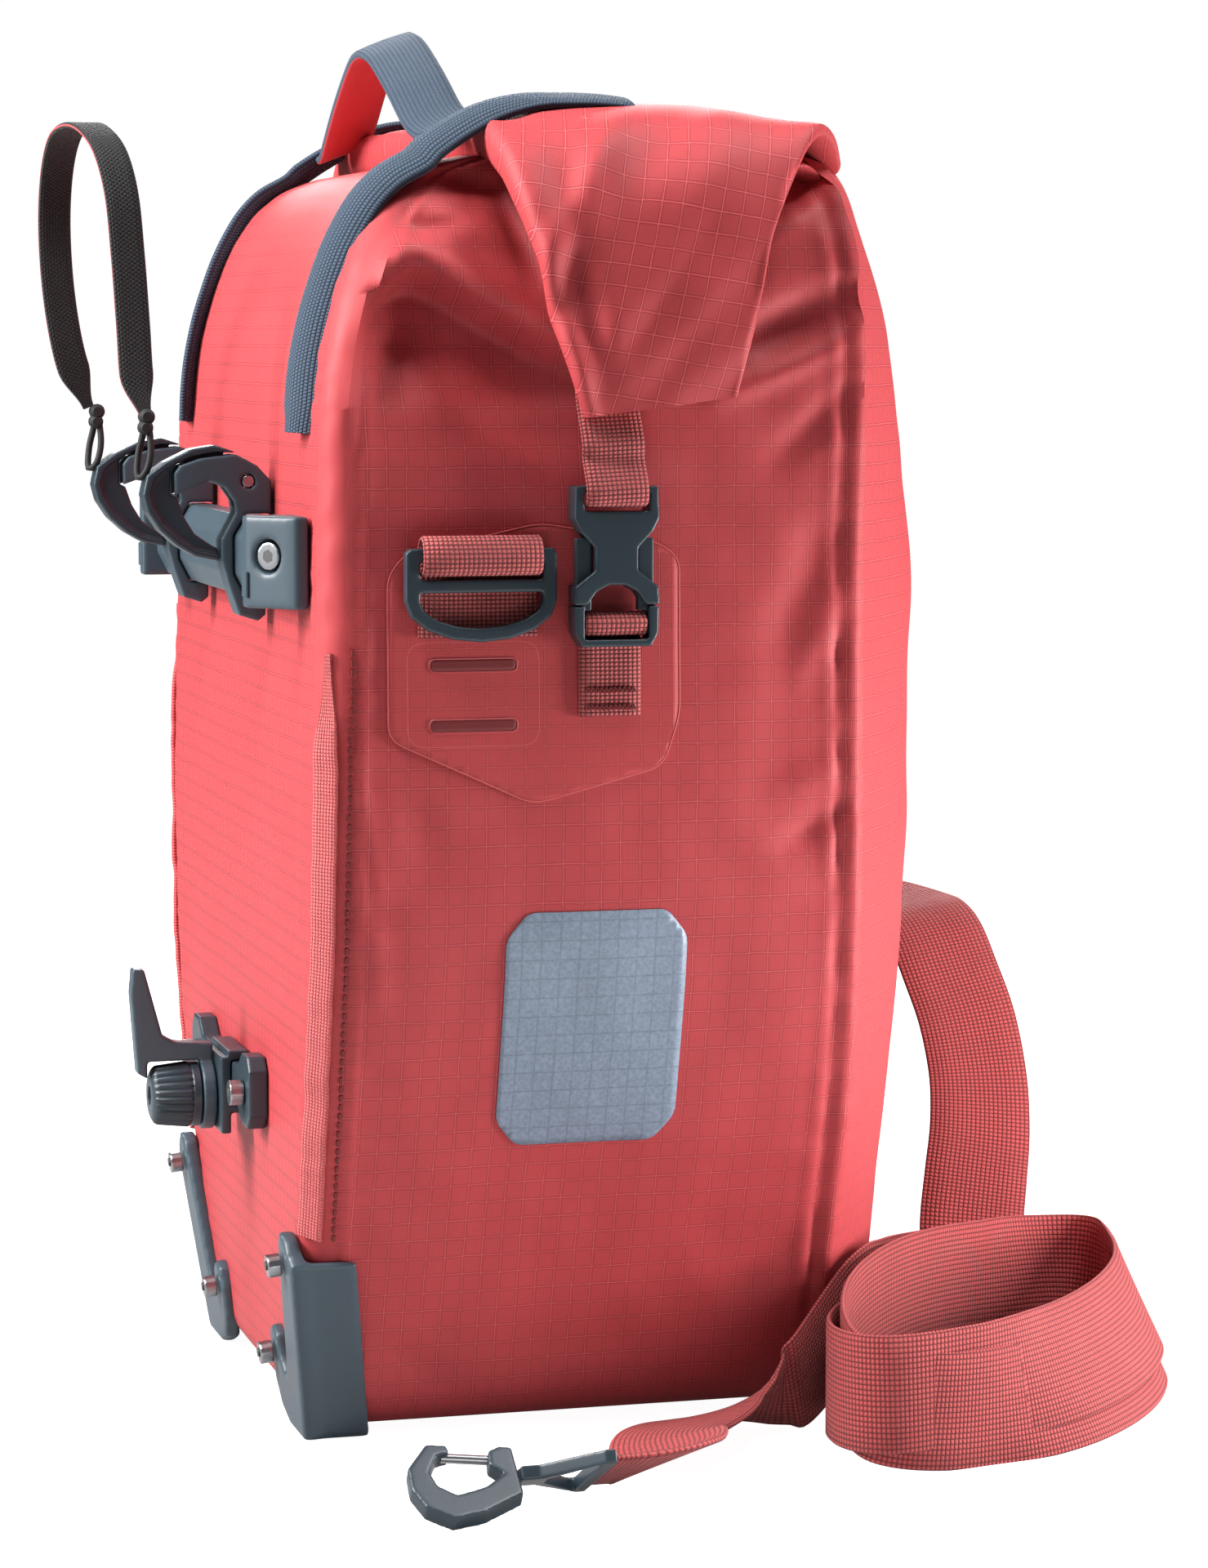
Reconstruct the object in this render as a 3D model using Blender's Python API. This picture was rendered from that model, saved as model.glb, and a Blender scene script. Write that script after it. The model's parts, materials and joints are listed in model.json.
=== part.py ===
"""Roll-top pannier bag with rack hooks, lower clamp, corner guards and a clip-on shoulder strap.

Frame: origin on the ground at the middle of the footprint, +Z up, X along the bicycle,
+Y towards the rack (the bag's back).  Left is -X.  Lengths below are millimetres.
"""
import math

import bmesh
import bpy
from mathutils import Vector

MM = 0.001
GAP = 0.35                      # clearance kept between touching pieces

# ---------------------------------------------------------------- driving dimensions
FABRIC = 1.5                    # wall of the welded fabric shell
# height, half width, back seam Y, front seam Y, front bulge
BODY_LEVELS = [
    (4.0, 82.5, 80.5, -87.0, 38.0),
    (30.0, 90.5, 84.0, -89.0, 44.0),
    (62.0, 100.5, 88.0, -90.0, 46.0),
    (110.0, 118.0, 90.0, -88.0, 49.0),
    (160.0, 130.0, 90.0, -86.0, 52.0),
    (210.0, 135.0, 89.5, -85.0, 54.0),
    (265.0, 135.0, 88.0, -84.0, 54.0),
    (300.0, 135.0, 87.3, -83.5, 50.0),
    (325.0, 134.5, 87.0, -83.0, 46.0),
    (360.0, 131.0, 82.5, -79.0, 39.0),
    (385.0, 124.0, 74.0, -75.0, 33.0),
    (405.0, 116.0, 60.0, -71.0, 29.0),
]
BACK_TOP = [(112.0, 46.0, 416.5), (109.0, 35.0, 421.0)]   # half width, Y, Z above the last level
SEAM_GAP = 3.4                  # side panels stop this far short of the back and front seams
BASE_HALF_X = 79.0
BASE_T = 3.0
ROLL_PATH = [                   # X, Z, thickness, lowest Y, highest Y, from the left tip to the middle
    (-143.5, 334.0, 8.0, -42.0, 7.0),
    (-143.5, 370.0, 10.0, -50.0, 16.0),
    (-142.0, 396.0, 12.0, -57.0, 24.0),
    (-136.0, 411.0, 14.0, -70.0, 26.5),
    (-124.0, 419.5, 16.0, -78.0, 26.5),
    (-104.0, 422.0, 17.0, -86.0, 26.5),
    (-50.0, 423.5, 17.0, -94.0, 26.5),
    (0.0, 424.0, 17.0, -96.0, 26.5),
]
ROLL_SLOT = 0.34                # slot height as a share of the roll's thickness
ROLL_SPINE = 0.18               # closed share of the roll's width
TRIM_X, TRIM_W, TRIM_T = 106.0, 26.0, 2.0
HANDLE_HALF, HANDLE_W, HANDLE_T = 92.2, 20.0, 3.0
HANDLE_Y, HANDLE_Z, HANDLE_RISE = 38.0, 424.5, 29.0
HOOK_X, HOOK_W = 52.5, 11.0
LATCH_SLOT, LATCH_WEB, LATCH_RIM = 5.6, 5.0, 10.0
LATCH_PIVOT = (96.5, 309.7)     # Y, Z
PIN_R = 2.0
LOOP_PIVOT = (128.5, 312.0)     # Y, Z
RAIL_HALF = 96.0
CAP_END = 118.0
WALL_Y = 88.6                   # face that the hook rail sits on
LOWER_Y, LOWER_Z = 90.8, 108.0
CLAMP_X, CLAMP_Z, KNOB_R = -8.0, 102.0, 11.0
DRING_X, DRING_Y, DRING_TOP = 141.3, 39.7, 289.2
BUCKLE_Y = -2.5
WEB_20, WEB_38 = 20.0, 38.0
STRAP_T = 1.8
COIL_A, COIL_B, COIL_WALL, COIL_TURN = 100.0, 37.0, 10.0, math.radians(-41.0)
COIL_LOW, COIL_HIGH = (-105.0, -141.0, 0.0), (-103.0, -138.0, 46.0)
RIGHT_RING_LIFT = math.radians(39.0)    # the loaded snap hook holds the right D-ring out
SNAP_TILT, EYE_TILT = math.radians(33.0), math.radians(-26.0)
SNAP_O = (-203.0, 0.0, 3.2)
HUNG_O = (158.3, DRING_Y, 206.2)

CORAL, CORAL_DARK = (0.62, 0.085, 0.085), (0.45, 0.05, 0.05)
NAVY, PETROL, STEEL = (0.045, 0.09, 0.16), (0.045, 0.075, 0.10), (0.55, 0.56, 0.58)
BLACK, GREY_BLUE, BOARD = (0.012, 0.012, 0.014), (0.17, 0.22, 0.30), (0.12, 0.12, 0.12)


# ---------------------------------------------------------------- helpers
def clear_scene():
    for obj in list(bpy.data.objects):
        bpy.data.objects.remove(obj, do_unlink=True)


def paint(obj, colour, roughness=0.6, metallic=0.0):
    """Gives the object its own Principled material."""
    mat = bpy.data.materials.new(obj.name)
    mat.use_nodes = True
    shader = mat.node_tree.nodes["Principled BSDF"]
    shader.inputs["Base Color"].default_value = (*colour, 1.0)
    shader.inputs["Roughness"].default_value = roughness
    shader.inputs["Metallic"].default_value = metallic
    mat.diffuse_color = (*colour, 1.0)
    obj.data.materials.append(mat)
    return obj


def solid(name, verts, faces, origin=(0.0, 0.0, 0.0), smooth=False):
    """Closed mesh from millimetre points, with its origin where the piece turns."""
    mesh = bpy.data.meshes.new(name)
    start = Vector(origin)
    mesh.from_pydata([(Vector(v) - start) * MM for v in verts], [], faces)
    bm = bmesh.new()
    bm.from_mesh(mesh)
    bmesh.ops.recalc_face_normals(bm, faces=bm.faces)
    bmesh.ops.triangulate(bm, faces=[f for f in bm.faces if len(f.verts) > 4])
    bm.to_mesh(mesh)
    bm.free()
    obj = bpy.data.objects.new(name, mesh)
    obj.location = start * MM
    bpy.context.scene.collection.objects.link(obj)
    if smooth:
        mesh.shade_smooth()
        mesh.set_sharp_from_angle(angle=math.radians(35))
    return obj


def loft(name, rings, origin=(0.0, 0.0, 0.0), smooth=False):
    """Closed solid through rings of equal length, capped at both ends."""
    n = len(rings[0])
    verts = [p for ring in rings for p in ring]
    faces = []
    for i in range(len(rings) - 1):
        for j in range(n):
            k = (j + 1) % n
            faces.append((i * n + j, i * n + k, (i + 1) * n + k, (i + 1) * n + j))
    faces.append(tuple(range(n)))
    faces.append(tuple((len(rings) - 1) * n + j for j in range(n)))
    return solid(name, verts, faces, origin, smooth)


def prism(name, outline, place, low, high, origin=(0.0, 0.0, 0.0), smooth=False):
    """Extrudes a flat outline: place(u, v, t) gives the world point at depth t."""
    return loft(name, [[place(u, v, t) for u, v in outline] for t in (low, high)], origin, smooth)


def in_yz(u, v, t):
    return (t, u, v)


def in_xz(u, v, t):
    return (u, t, v)


def in_xy(u, v, t):
    return (u, v, t)


def box(name, low, high, origin=(0.0, 0.0, 0.0)):
    outline = [(low[0], low[1]), (high[0], low[1]), (high[0], high[1]), (low[0], high[1])]
    return prism(name, outline, in_xy, low[2], high[2], origin)


def circle(cu, cv, radius, count, start=0.0):
    step = 2.0 * math.pi / count
    return [(cu + radius * math.cos(start + i * step), cv + radius * math.sin(start + i * step))
            for i in range(count)]


def rod(name, start, end, radius, count=12, origin=(0.0, 0.0, 0.0)):
    """Round bar from start to end."""
    a, b = Vector(start), Vector(end)
    axis = (b - a).normalized()
    side = axis.orthogonal().normalized()
    up = axis.cross(side)
    rings = [[p + side * u + up * v for u, v in circle(0, 0, radius, count)] for p in (a, b)]
    return loft(name, rings, origin, smooth=True)


def ribbon(name, points, across, width, thick, origin=(0.0, 0.0, 0.0)):
    """Flat webbing along points; across holds the direction of its width at each point."""
    rings = []
    for i, point in enumerate(points):
        before, after = points[max(i - 1, 0)], points[min(i + 1, len(points) - 1)]
        along = (Vector(after) - Vector(before)).normalized()
        side = Vector(across[i])
        side = (side - along * side.dot(along)).normalized()
        face = along.cross(side)
        corner = [(-1, -1), (1, -1), (1, 1), (-1, 1)]
        rings.append([Vector(point) + side * (a * width / 2) + face * (b * thick / 2) for a, b in corner])
    strap = loft(name, rings, origin, smooth=True)
    strap.modifiers.new("Flat faces where it twists", 'TRIANGULATE')
    return strap


def slab(name, outer, inner):
    """Closed wall between two grids of points."""
    rows, cols = len(outer), len(outer[0])
    verts = [p for row in outer for p in row] + [p for row in inner for p in row]
    shift = rows * cols
    faces = []
    for i in range(rows - 1):
        for j in range(cols - 1):
            a, b = i * cols + j, (i + 1) * cols + j
            faces.append((a, a + 1, b + 1, b))
            faces.append((shift + a, shift + b, shift + b + 1, shift + a + 1))
    rim = [j for j in range(cols)]
    rim += [i * cols + cols - 1 for i in range(1, rows)]
    rim += [(rows - 1) * cols + j for j in range(cols - 2, -1, -1)]
    rim += [i * cols for i in range(rows - 2, 0, -1)]
    for a, b in zip(rim, rim[1:] + rim[:1]):
        faces.append((a, b, shift + b, shift + a))
    return solid(name, verts, faces, smooth=True)


def combine(obj, other, operation):
    """Boolean modifier; the helper object stays hidden."""
    modifier = obj.modifiers.new(operation.title(), 'BOOLEAN')
    modifier.operation = operation
    modifier.solver = 'EXACT'
    modifier.object = other
    other.hide_render = True
    other.display_type = 'WIRE'
    return obj


def cut(obj, *cutters):
    for cutter in cutters:
        combine(obj, cutter, 'DIFFERENCE')
    return obj


def join(obj, *extras):
    for extra in extras:
        combine(obj, extra, 'UNION')
    return obj


def mix(a, b, t):
    return a + (b - a) * t


def level_at(z):
    """Half width, back Y, front Y and bulge of the body at a height."""
    for low, high in zip(BODY_LEVELS, BODY_LEVELS[1:]):
        if z <= high[0]:
            t = (z - low[0]) / (high[0] - low[0])
            return [mix(a, b, t) for a, b in zip(low[1:], high[1:])]
    return list(BODY_LEVELS[-1][1:])


def sides():
    """Name and sign of the two ends of the bag."""
    return (("left", -1.0), ("right", 1.0))


# ---------------------------------------------------------------- fabric shell
def back_profile():
    """Half width, Y and Z of the back panel from the base to the roll."""
    rows = [(w, back, z) for z, w, back, _front, _bulge in BODY_LEVELS]
    return rows + BACK_TOP


def back_normals(rows):
    """Outward direction in the YZ plane at each point of the back profile."""
    normals = []
    for i, (_w, y, z) in enumerate(rows):
        before, after = rows[max(i - 1, 0)], rows[min(i + 1, len(rows) - 1)]
        along = Vector((after[1] - before[1], after[2] - before[2])).normalized()
        normals.append((along.y, -along.x))
    return normals


def make_back_panel():
    rows = back_profile()
    outer, inner = [], []
    for (w, y, z), (ny, nz) in zip(rows, back_normals(rows)):
        outer.append([(x * w, y, z) for x in (-1.0, -0.4, 0.4, 1.0)])
        inner.append([(x * w, y - ny * FABRIC, z - nz * FABRIC) for x in (-1.0, -0.4, 0.4, 1.0)])
    paint(slab("back_panel", outer, inner), CORAL)


def make_front_panel():
    columns = [-1.0, -0.8, -0.55, -0.28, 0.0, 0.28, 0.55, 0.8, 1.0]
    outer, inner = [], []
    for z, w, _back, front, bulge in BODY_LEVELS:
        ring_out = [(x * w, front - bulge * (1 - x * x), z) for x in columns]
        outer.append(ring_out)
        inner.append([(x, y + FABRIC, h) for x, y, h in ring_out])
    paint(slab("front_panel", outer, inner), CORAL)


def make_side_panels():
    for side, sign in sides():
        outer, inner = [], []
        for z, w, back, front, _bulge in BODY_LEVELS:
            span = (front + SEAM_GAP, mix(front, back, 0.5), back - SEAM_GAP)
            outer.append([(sign * w, y, z) for y in span])
            inner.append([(sign * (w - FABRIC), y, z) for y in span])
        paint(slab("side_panel_" + side, outer, inner), CORAL)


def make_base_panel():
    _w, back, front, bulge = level_at(BODY_LEVELS[0][0])
    outline = [(-BASE_HALF_X, back - 3.0), (-BASE_HALF_X, front + 3.0)]
    for x in (-0.8, -0.4, 0.0, 0.4, 0.8):
        outline.append((x * BASE_HALF_X, front + 3.0 - (bulge - 3.0) * (1 - x * x)))
    outline += [(BASE_HALF_X, front + 3.0), (BASE_HALF_X, back - 3.0)]
    paint(prism("base_panel", outline, in_xy, 0.0, BASE_T), CORAL_DARK)


def make_back_board():
    """Stiffening sheet behind the rack hardware, inside the bag."""
    rows = [row for row in BODY_LEVELS if 30.0 <= row[0] <= 300.0]
    outer = [[(x * 84.0, back - 4.0, z) for x in (-1.0, 1.0)] for z, _w, back, _f, _b in rows]
    inner = [[(x, y - 2.0, z) for x, y, z in row] for row in outer]
    paint(slab("back_board", outer, inner), BOARD, 0.5)


def roll_rings():
    """Sections of the rolled mouth, open towards the front like a folded sheet."""
    left = ROLL_PATH
    right = [(-x, z, t, lo, hi) for x, z, t, lo, hi in reversed(left[:-1])]
    path = left + right
    rings = []
    for i, (x, z, thick, low, high) in enumerate(path):
        before, after = path[max(i - 1, 0)], path[min(i + 1, len(path) - 1)]
        along = Vector((after[0] - before[0], after[1] - before[1])).normalized()
        normal = (-along.y, along.x)
        half, gap = thick / 2, thick * ROLL_SLOT / 2
        spine = high - (high - low) * ROLL_SPINE
        section = [(high, half), (low, half), (low, gap), (spine, gap),
                   (spine, -gap), (low, -gap), (low, -half), (high, -half)]
        rings.append([(x + normal[0] * n, y, z + normal[1] * n) for y, n in section])
    return rings


def make_roll_top():
    paint(loft("roll_top", roll_rings(), smooth=True), CORAL)
    strip = box("rim_stiffener", (-98.0, -84.0, 422.2), (98.0, 2.0, 424.4))
    paint(strip, BOARD, 0.4)


# ---------------------------------------------------------------- webbing sewn to the shell
def trim_path():
    rows = back_profile()
    points = []
    for (_w, y, z), (ny, nz) in zip(rows, back_normals(rows)):
        if z >= 325.0 and y > 34.0:
            lift = TRIM_T / 2 + 0.5
            points.append((y + ny * lift, z + nz * lift))
    return points


def make_trim_straps():
    for side, sign in sides():
        path = [(sign * TRIM_X, y, z) for y, z in trim_path()]
        strap = ribbon("trim_strap_" + side, path, [(1, 0, 0)] * len(path), TRIM_W, TRIM_T)
        paint(strap, NAVY, 0.8)


def make_carry_handle():
    points = []
    for i in range(13):
        t = -1.0 + i / 6.0
        arch = 1.0 - abs(t) ** 2.2
        points.append((t * HANDLE_HALF, HANDLE_Y, HANDLE_Z + HANDLE_RISE * arch))
    across = [(0.0, 0.95, -0.31)] * len(points)
    handle = ribbon("carry_handle", points, across, HANDLE_W, HANDLE_T, (0.0, HANDLE_Y, 423.0))
    paint(handle, NAVY, 0.8)


def make_reflector_patch():
    heights = [99.5, 110.0, 143.0, 160.0, 176.5]
    spans = [(-22.0, 23.0), (-29.0, 30.0), (-29.0, 30.0), (-29.0, 30.0), (-22.0, 23.0)]
    outer, inner = [], []
    for z, span in zip(heights, spans):
        w = level_at(z)[0]
        outer.append([(-(w + 1.0), y, z) for y in span])
        inner.append([(-(w + GAP), y, z) for y in span])
    paint(slab("reflector_patch", outer, inner), GREY_BLUE, 0.35)


def make_anchor_patches():
    outline = [(-25.5, 238.0), (-25.5, 287.0), (-19.0, 292.0), (19.5, 298.5), (63.0, 289.0),
               (68.0, 282.0), (68.0, 232.0), (22.0, 211.0), (-20.0, 222.0)]
    for side, sign in sides():
        patch = prism("anchor_patch_" + side, outline, in_yz, sign * (135.0 + GAP), sign * 136.15)
        paint(patch, CORAL_DARK, 0.5)


# ---------------------------------------------------------------- D-rings and buckles
def ring_frame(sign, lift):
    """Place of a D-ring swung outwards about its top bar."""
    def place(u, v, t):
        drop, out = DRING_TOP - v, t
        return (sign * (DRING_X + drop * math.sin(lift) + out * math.cos(lift)), DRING_Y + u,
                DRING_TOP - drop * math.cos(lift) + out * math.sin(lift))
    return place


def make_d_rings():
    half = 24.0
    outer = [(-half, 290.0), (-half + 1.5, 291.3), (half - 1.5, 291.3), (half, 290.0)]
    inner = [(-19.5, 277.6), (19.5, 277.6)]
    for i in range(9):
        turn = math.pi * i / 8
        outer.append((half * math.cos(turn), 275.0 - 12.8 * math.sin(turn)))
        inner.append((19.5 * math.cos(turn), 275.0 - 8.4 * math.sin(turn)))
    slot_outline = ((-19.5, 281.6), (19.5, 281.6), (19.5, 287.1), (-19.5, 287.1))
    for side, sign in sides():
        place = ring_frame(sign, RIGHT_RING_LIFT if sign > 0 else 0.0)
        ring = prism("d_ring_" + side, outer, place, -2.2, 2.2, (sign * DRING_X, DRING_Y, DRING_TOP))
        hole = prism("cut_d_" + side, inner, place, -3.2, 3.2)
        slot = prism("cut_slot_" + side, slot_outline, place, -3.2, 3.2)
        paint(cut(ring, hole, slot), PETROL, 0.4)
        path = [(137.3, 263.5), (137.3, 289.0), (138.6, 292.6), (141.3, 293.9), (144.0, 292.6),
                (145.2, 289.2), (144.6, 285.4), (142.6, 284.3), (139.4, 284.3)]
        if sign > 0:
            path = path[:-2] + [(143.6, 284.6)]
        points = [(sign * x, DRING_Y, z) for x, z in path]
        loop = ribbon("d_ring_loop_" + side, points, [(0, 1, 0)] * len(points), WEB_38, 1.4)
        paint(loop, CORAL, 0.8)


def mirrored(half_outline):
    """Closes an outline given for +Y around the buckle's middle."""
    right = [(BUCKLE_Y + u, v) for u, v in half_outline]
    left = [(BUCKLE_Y - u, v) for u, v in reversed(half_outline)]
    return right + left


def make_buckles():
    female_half = [(13.3, 310.0), (13.6, 300.0), (11.5, 296.0), (6.8, 291.0), (6.8, 284.0),
                   (13.4, 279.0), (13.6, 273.4), (9.5, 273.4), (6.5, 277.5), (2.5, 279.6)]
    male_half = [(13.5, 272.9), (13.3, 264.5), (11.0, 260.4)]
    for side, sign in sides():
        near, far = sign * 138.0, sign * 147.0
        female = prism("buckle_female_" + side, [(BUCKLE_Y, 311.2)] + mirrored(female_half)[:],
                       in_yz, near, far, (sign * 142.5, BUCKLE_Y, 285.0))
        slot = box("cut_f_" + side, (min(near, far) - 1, BUCKLE_Y - 10.4, 302.4),
                   (max(near, far) + 1, BUCKLE_Y + 10.4, 308.4))
        channels = []
        for end in (-1.0, 1.0):
            low, high = sorted((BUCKLE_Y + end * 7.0, BUCKLE_Y + end * 12.9))
            x_low, x_high = sorted((sign * 140.5, sign * 144.5))
            channels.append(box("cut_c_%s_%d" % (side, end), (x_low, low, 270.0), (x_high, high, 295.5)))
        paint(cut(female, slot, *channels), PETROL, 0.4)
        male = prism("buckle_male_" + side, mirrored(male_half), in_yz, near, far)
        window = box("cut_m_" + side, (min(near, far) - 1, BUCKLE_Y - 10.4, 262.6),
                     (max(near, far) + 1, BUCKLE_Y + 10.4, 274.0))
        bar = box("add_bar_" + side, (min(sign * 141.0, sign * 144.5), BUCKLE_Y - 11.5, 266.2),
                  (max(sign * 141.0, sign * 144.5), BUCKLE_Y + 11.5, 268.8))
        prongs = []
        for end in (-1.0, 1.0):
            low, high = sorted((BUCKLE_Y + end * 7.4, BUCKLE_Y + end * 12.5))
            x_low, x_high = sorted((sign * 141.0, sign * 144.1))
            prongs.append(box("add_p_%s_%d" % (side, end), (x_low, low, 271.4), (x_high, high, 294.0)))
        cut(male, window)
        paint(join(male, bar, *prongs), PETROL, 0.4)
        make_buckle_straps(side, sign)


def make_buckle_straps(side, sign):
    upper = [(144.4, 328.8), (145.9, 321.0), (148.2, 313.0), (148.3, 306.5), (147.4, 304.6),
             (145.6, 304.0), (141.5, 304.0)]
    lower = [(137.2, 238.5), (137.2, 266.0), (138.2, 269.2), (141.0, 270.2), (144.2, 270.1),
             (146.2, 268.6), (146.0, 266.4), (144.6, 264.5), (141.0, 264.4)]
    for part, path in (("upper", upper), ("lower", lower)):
        points = [(sign * x, BUCKLE_Y, z) for x, z in path]
        strap = ribbon("buckle_strap_%s_%s" % (part, side), points, [(0, 1, 0)] * len(points),
                       WEB_20, 1.3)
        paint(strap, CORAL, 0.8)


# ---------------------------------------------------------------- rack hooks
def make_hook_rail():
    profile = [(WALL_Y, 272.0), (97.0, 272.0), (101.0, 280.0), (101.0, 292.0), (97.0, 298.5),
               (WALL_Y, 298.5)]
    paint(prism("hook_rail", profile, in_yz, -RAIL_HALF, RAIL_HALF), PETROL, 0.45)
    for side, sign in sides():
        outline = [(RAIL_HALF + GAP, WALL_Y), (RAIL_HALF + GAP, 106.0), (103.0, 106.0), (115.5, 95.5),
                   (CAP_END, 93.0), (CAP_END, WALL_Y)]
        cap = prism("rail_end_cap_" + side, [(sign * x, y) for x, y in outline], in_xy, 271.5, 300.5)
        face = Vector((sign * 109.5, 100.6, 288.0))
        axis = Vector((sign * 10.5, 12.5, 0.0)).normalized()
        recess = rod("cut_cap_" + side, face - axis * 4.5, face + axis * 6.0, 5.4, 16)
        paint(cut(cap, recess), PETROL, 0.45)
        screw = rod("rail_screw_" + side, face - axis * 4.1, face - axis * 0.6, 4.4, 16)
        paint(screw, STEEL, 0.3, 1.0)


HOOK_OUTLINE = [                # Y, Z of the hook plates; the mouth opens towards +Y
    (120.3, 305.4), (120.5, 312.5), (118.5, 315.0), (112.0, 317.2), (100.5, 318.5), (93.5, 314.8),
    (88.9, 309.8), (88.9, 299.2), (97.2, 299.2), (101.5, 292.4), (101.5, 279.6), (97.3, 271.5),
    (91.0, 271.5), (91.0, 266.5), (93.5, 264.5), (99.9, 266.5), (103.2, 276.0), (105.4, 284.0),
    (105.4, 291.0), (100.6, 299.8), (101.2, 303.5), (104.3, 308.0), (109.1, 310.0), (114.8, 307.4),
]
LATCH_WEB_OUTLINE = [           # Y, Z of the latch lever's web between the plates
    (93.2, 309.7), (94.4, 312.4), (99.5, 316.6), (107.0, 319.4), (114.7, 318.2), (123.0, 314.2),
    (127.4, 310.8), (128.8, 305.5), (127.4, 300.8), (124.0, 295.6), (118.6, 290.6), (113.4, 287.3),
    (106.0, 285.6), (106.0, 288.0), (108.0, 289.0), (113.6, 292.8), (117.0, 298.4), (119.2, 304.8),
    (121.2, 305.4), (121.3, 313.0), (118.9, 315.6), (112.2, 315.0), (102.0, 311.6), (99.6, 307.8),
    (96.5, 306.6), (94.0, 307.4),
]
LATCH_RIM_OUTLINE = [           # Y, Z of the broad rim along the lever's back
    (100.4, 319.2), (107.0, 321.4), (114.7, 320.2), (123.4, 316.0), (129.2, 311.8), (130.6, 305.5),
    (129.2, 299.9), (125.4, 294.1), (119.7, 289.0), (114.0, 285.7), (106.0, 284.0), (106.0, 286.0),
    (113.3, 287.7), (118.4, 291.0), (123.8, 296.0), (127.1, 301.2), (128.3, 305.5), (127.0, 310.4),
    (122.8, 314.0), (121.6, 314.6), (119.2, 316.0), (114.4, 317.9), (107.0, 319.2), (100.6, 318.9),
]


def make_hooks():
    pivot_y, pivot_z = LATCH_PIVOT
    for side, sign in sides():
        mid = sign * HOOK_X
        low, high = mid - HOOK_W / 2, mid + HOOK_W / 2
        hook = prism("hook_" + side, HOOK_OUTLINE, in_yz, low, high, (mid, 96.0, 285.0))
        slot = box("cut_hook_" + side, (mid - LATCH_SLOT / 2, 91.2, 301.0),
                   (mid + LATCH_SLOT / 2, 130.0, 325.0))
        bore = rod("cut_pin_" + side, (low - 1, pivot_y, pivot_z), (high + 1, pivot_y, pivot_z),
                   PIN_R + GAP, 16)
        paint(cut(hook, slot, bore), PETROL, 0.4)
        origin = (mid, pivot_y, pivot_z)
        latch = prism("latch_" + side, LATCH_WEB_OUTLINE, in_yz, mid - LATCH_WEB / 2,
                      mid + LATCH_WEB / 2, origin)
        rim = prism("add_rim_" + side, LATCH_RIM_OUTLINE, in_yz, mid - LATCH_RIM / 2,
                    mid + LATCH_RIM / 2)
        eye = rod("cut_eye_" + side, (low, pivot_y, pivot_z), (high, pivot_y, pivot_z),
                  PIN_R + GAP, 16)
        paint(cut(join(latch, rim), eye), PETROL, 0.4)
        pin = rod("latch_pin_" + side, (low + 0.1, pivot_y, pivot_z), (high - 0.1, pivot_y, pivot_z),
                  PIN_R, 16)
        paint(pin, STEEL, 0.3, 1.0)


RELEASE_ROUTE = [               # left latch to right latch, over the top of the loop
    (-52.5, 128.5, 316.8), (-52.0, 130.0, 323.0), (-50.0, 131.0, 340.0), (-48.0, 131.8, 360.0),
    (-46.5, 133.0, 382.0), (-44.0, 134.5, 402.0), (-36.0, 137.0, 416.0), (-20.0, 140.0, 423.5),
    (-2.0, 142.5, 425.0), (16.0, 144.0, 421.5), (31.0, 144.5, 410.0), (41.0, 144.0, 392.0),
    (46.0, 142.0, 370.0), (49.0, 138.0, 347.0), (52.0, 131.5, 325.0), (52.5, 128.5, 316.8),
]


def make_release_loop():
    across = [(0, 1, 0)] * len(RELEASE_ROUTE)
    pivot = (-HOOK_X, LOOP_PIVOT[0], LOOP_PIVOT[1])
    loop = ribbon("release_loop", RELEASE_ROUTE, across, 11.0, 2.0, pivot)
    paint(loop, BLACK, 0.8)


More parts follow.
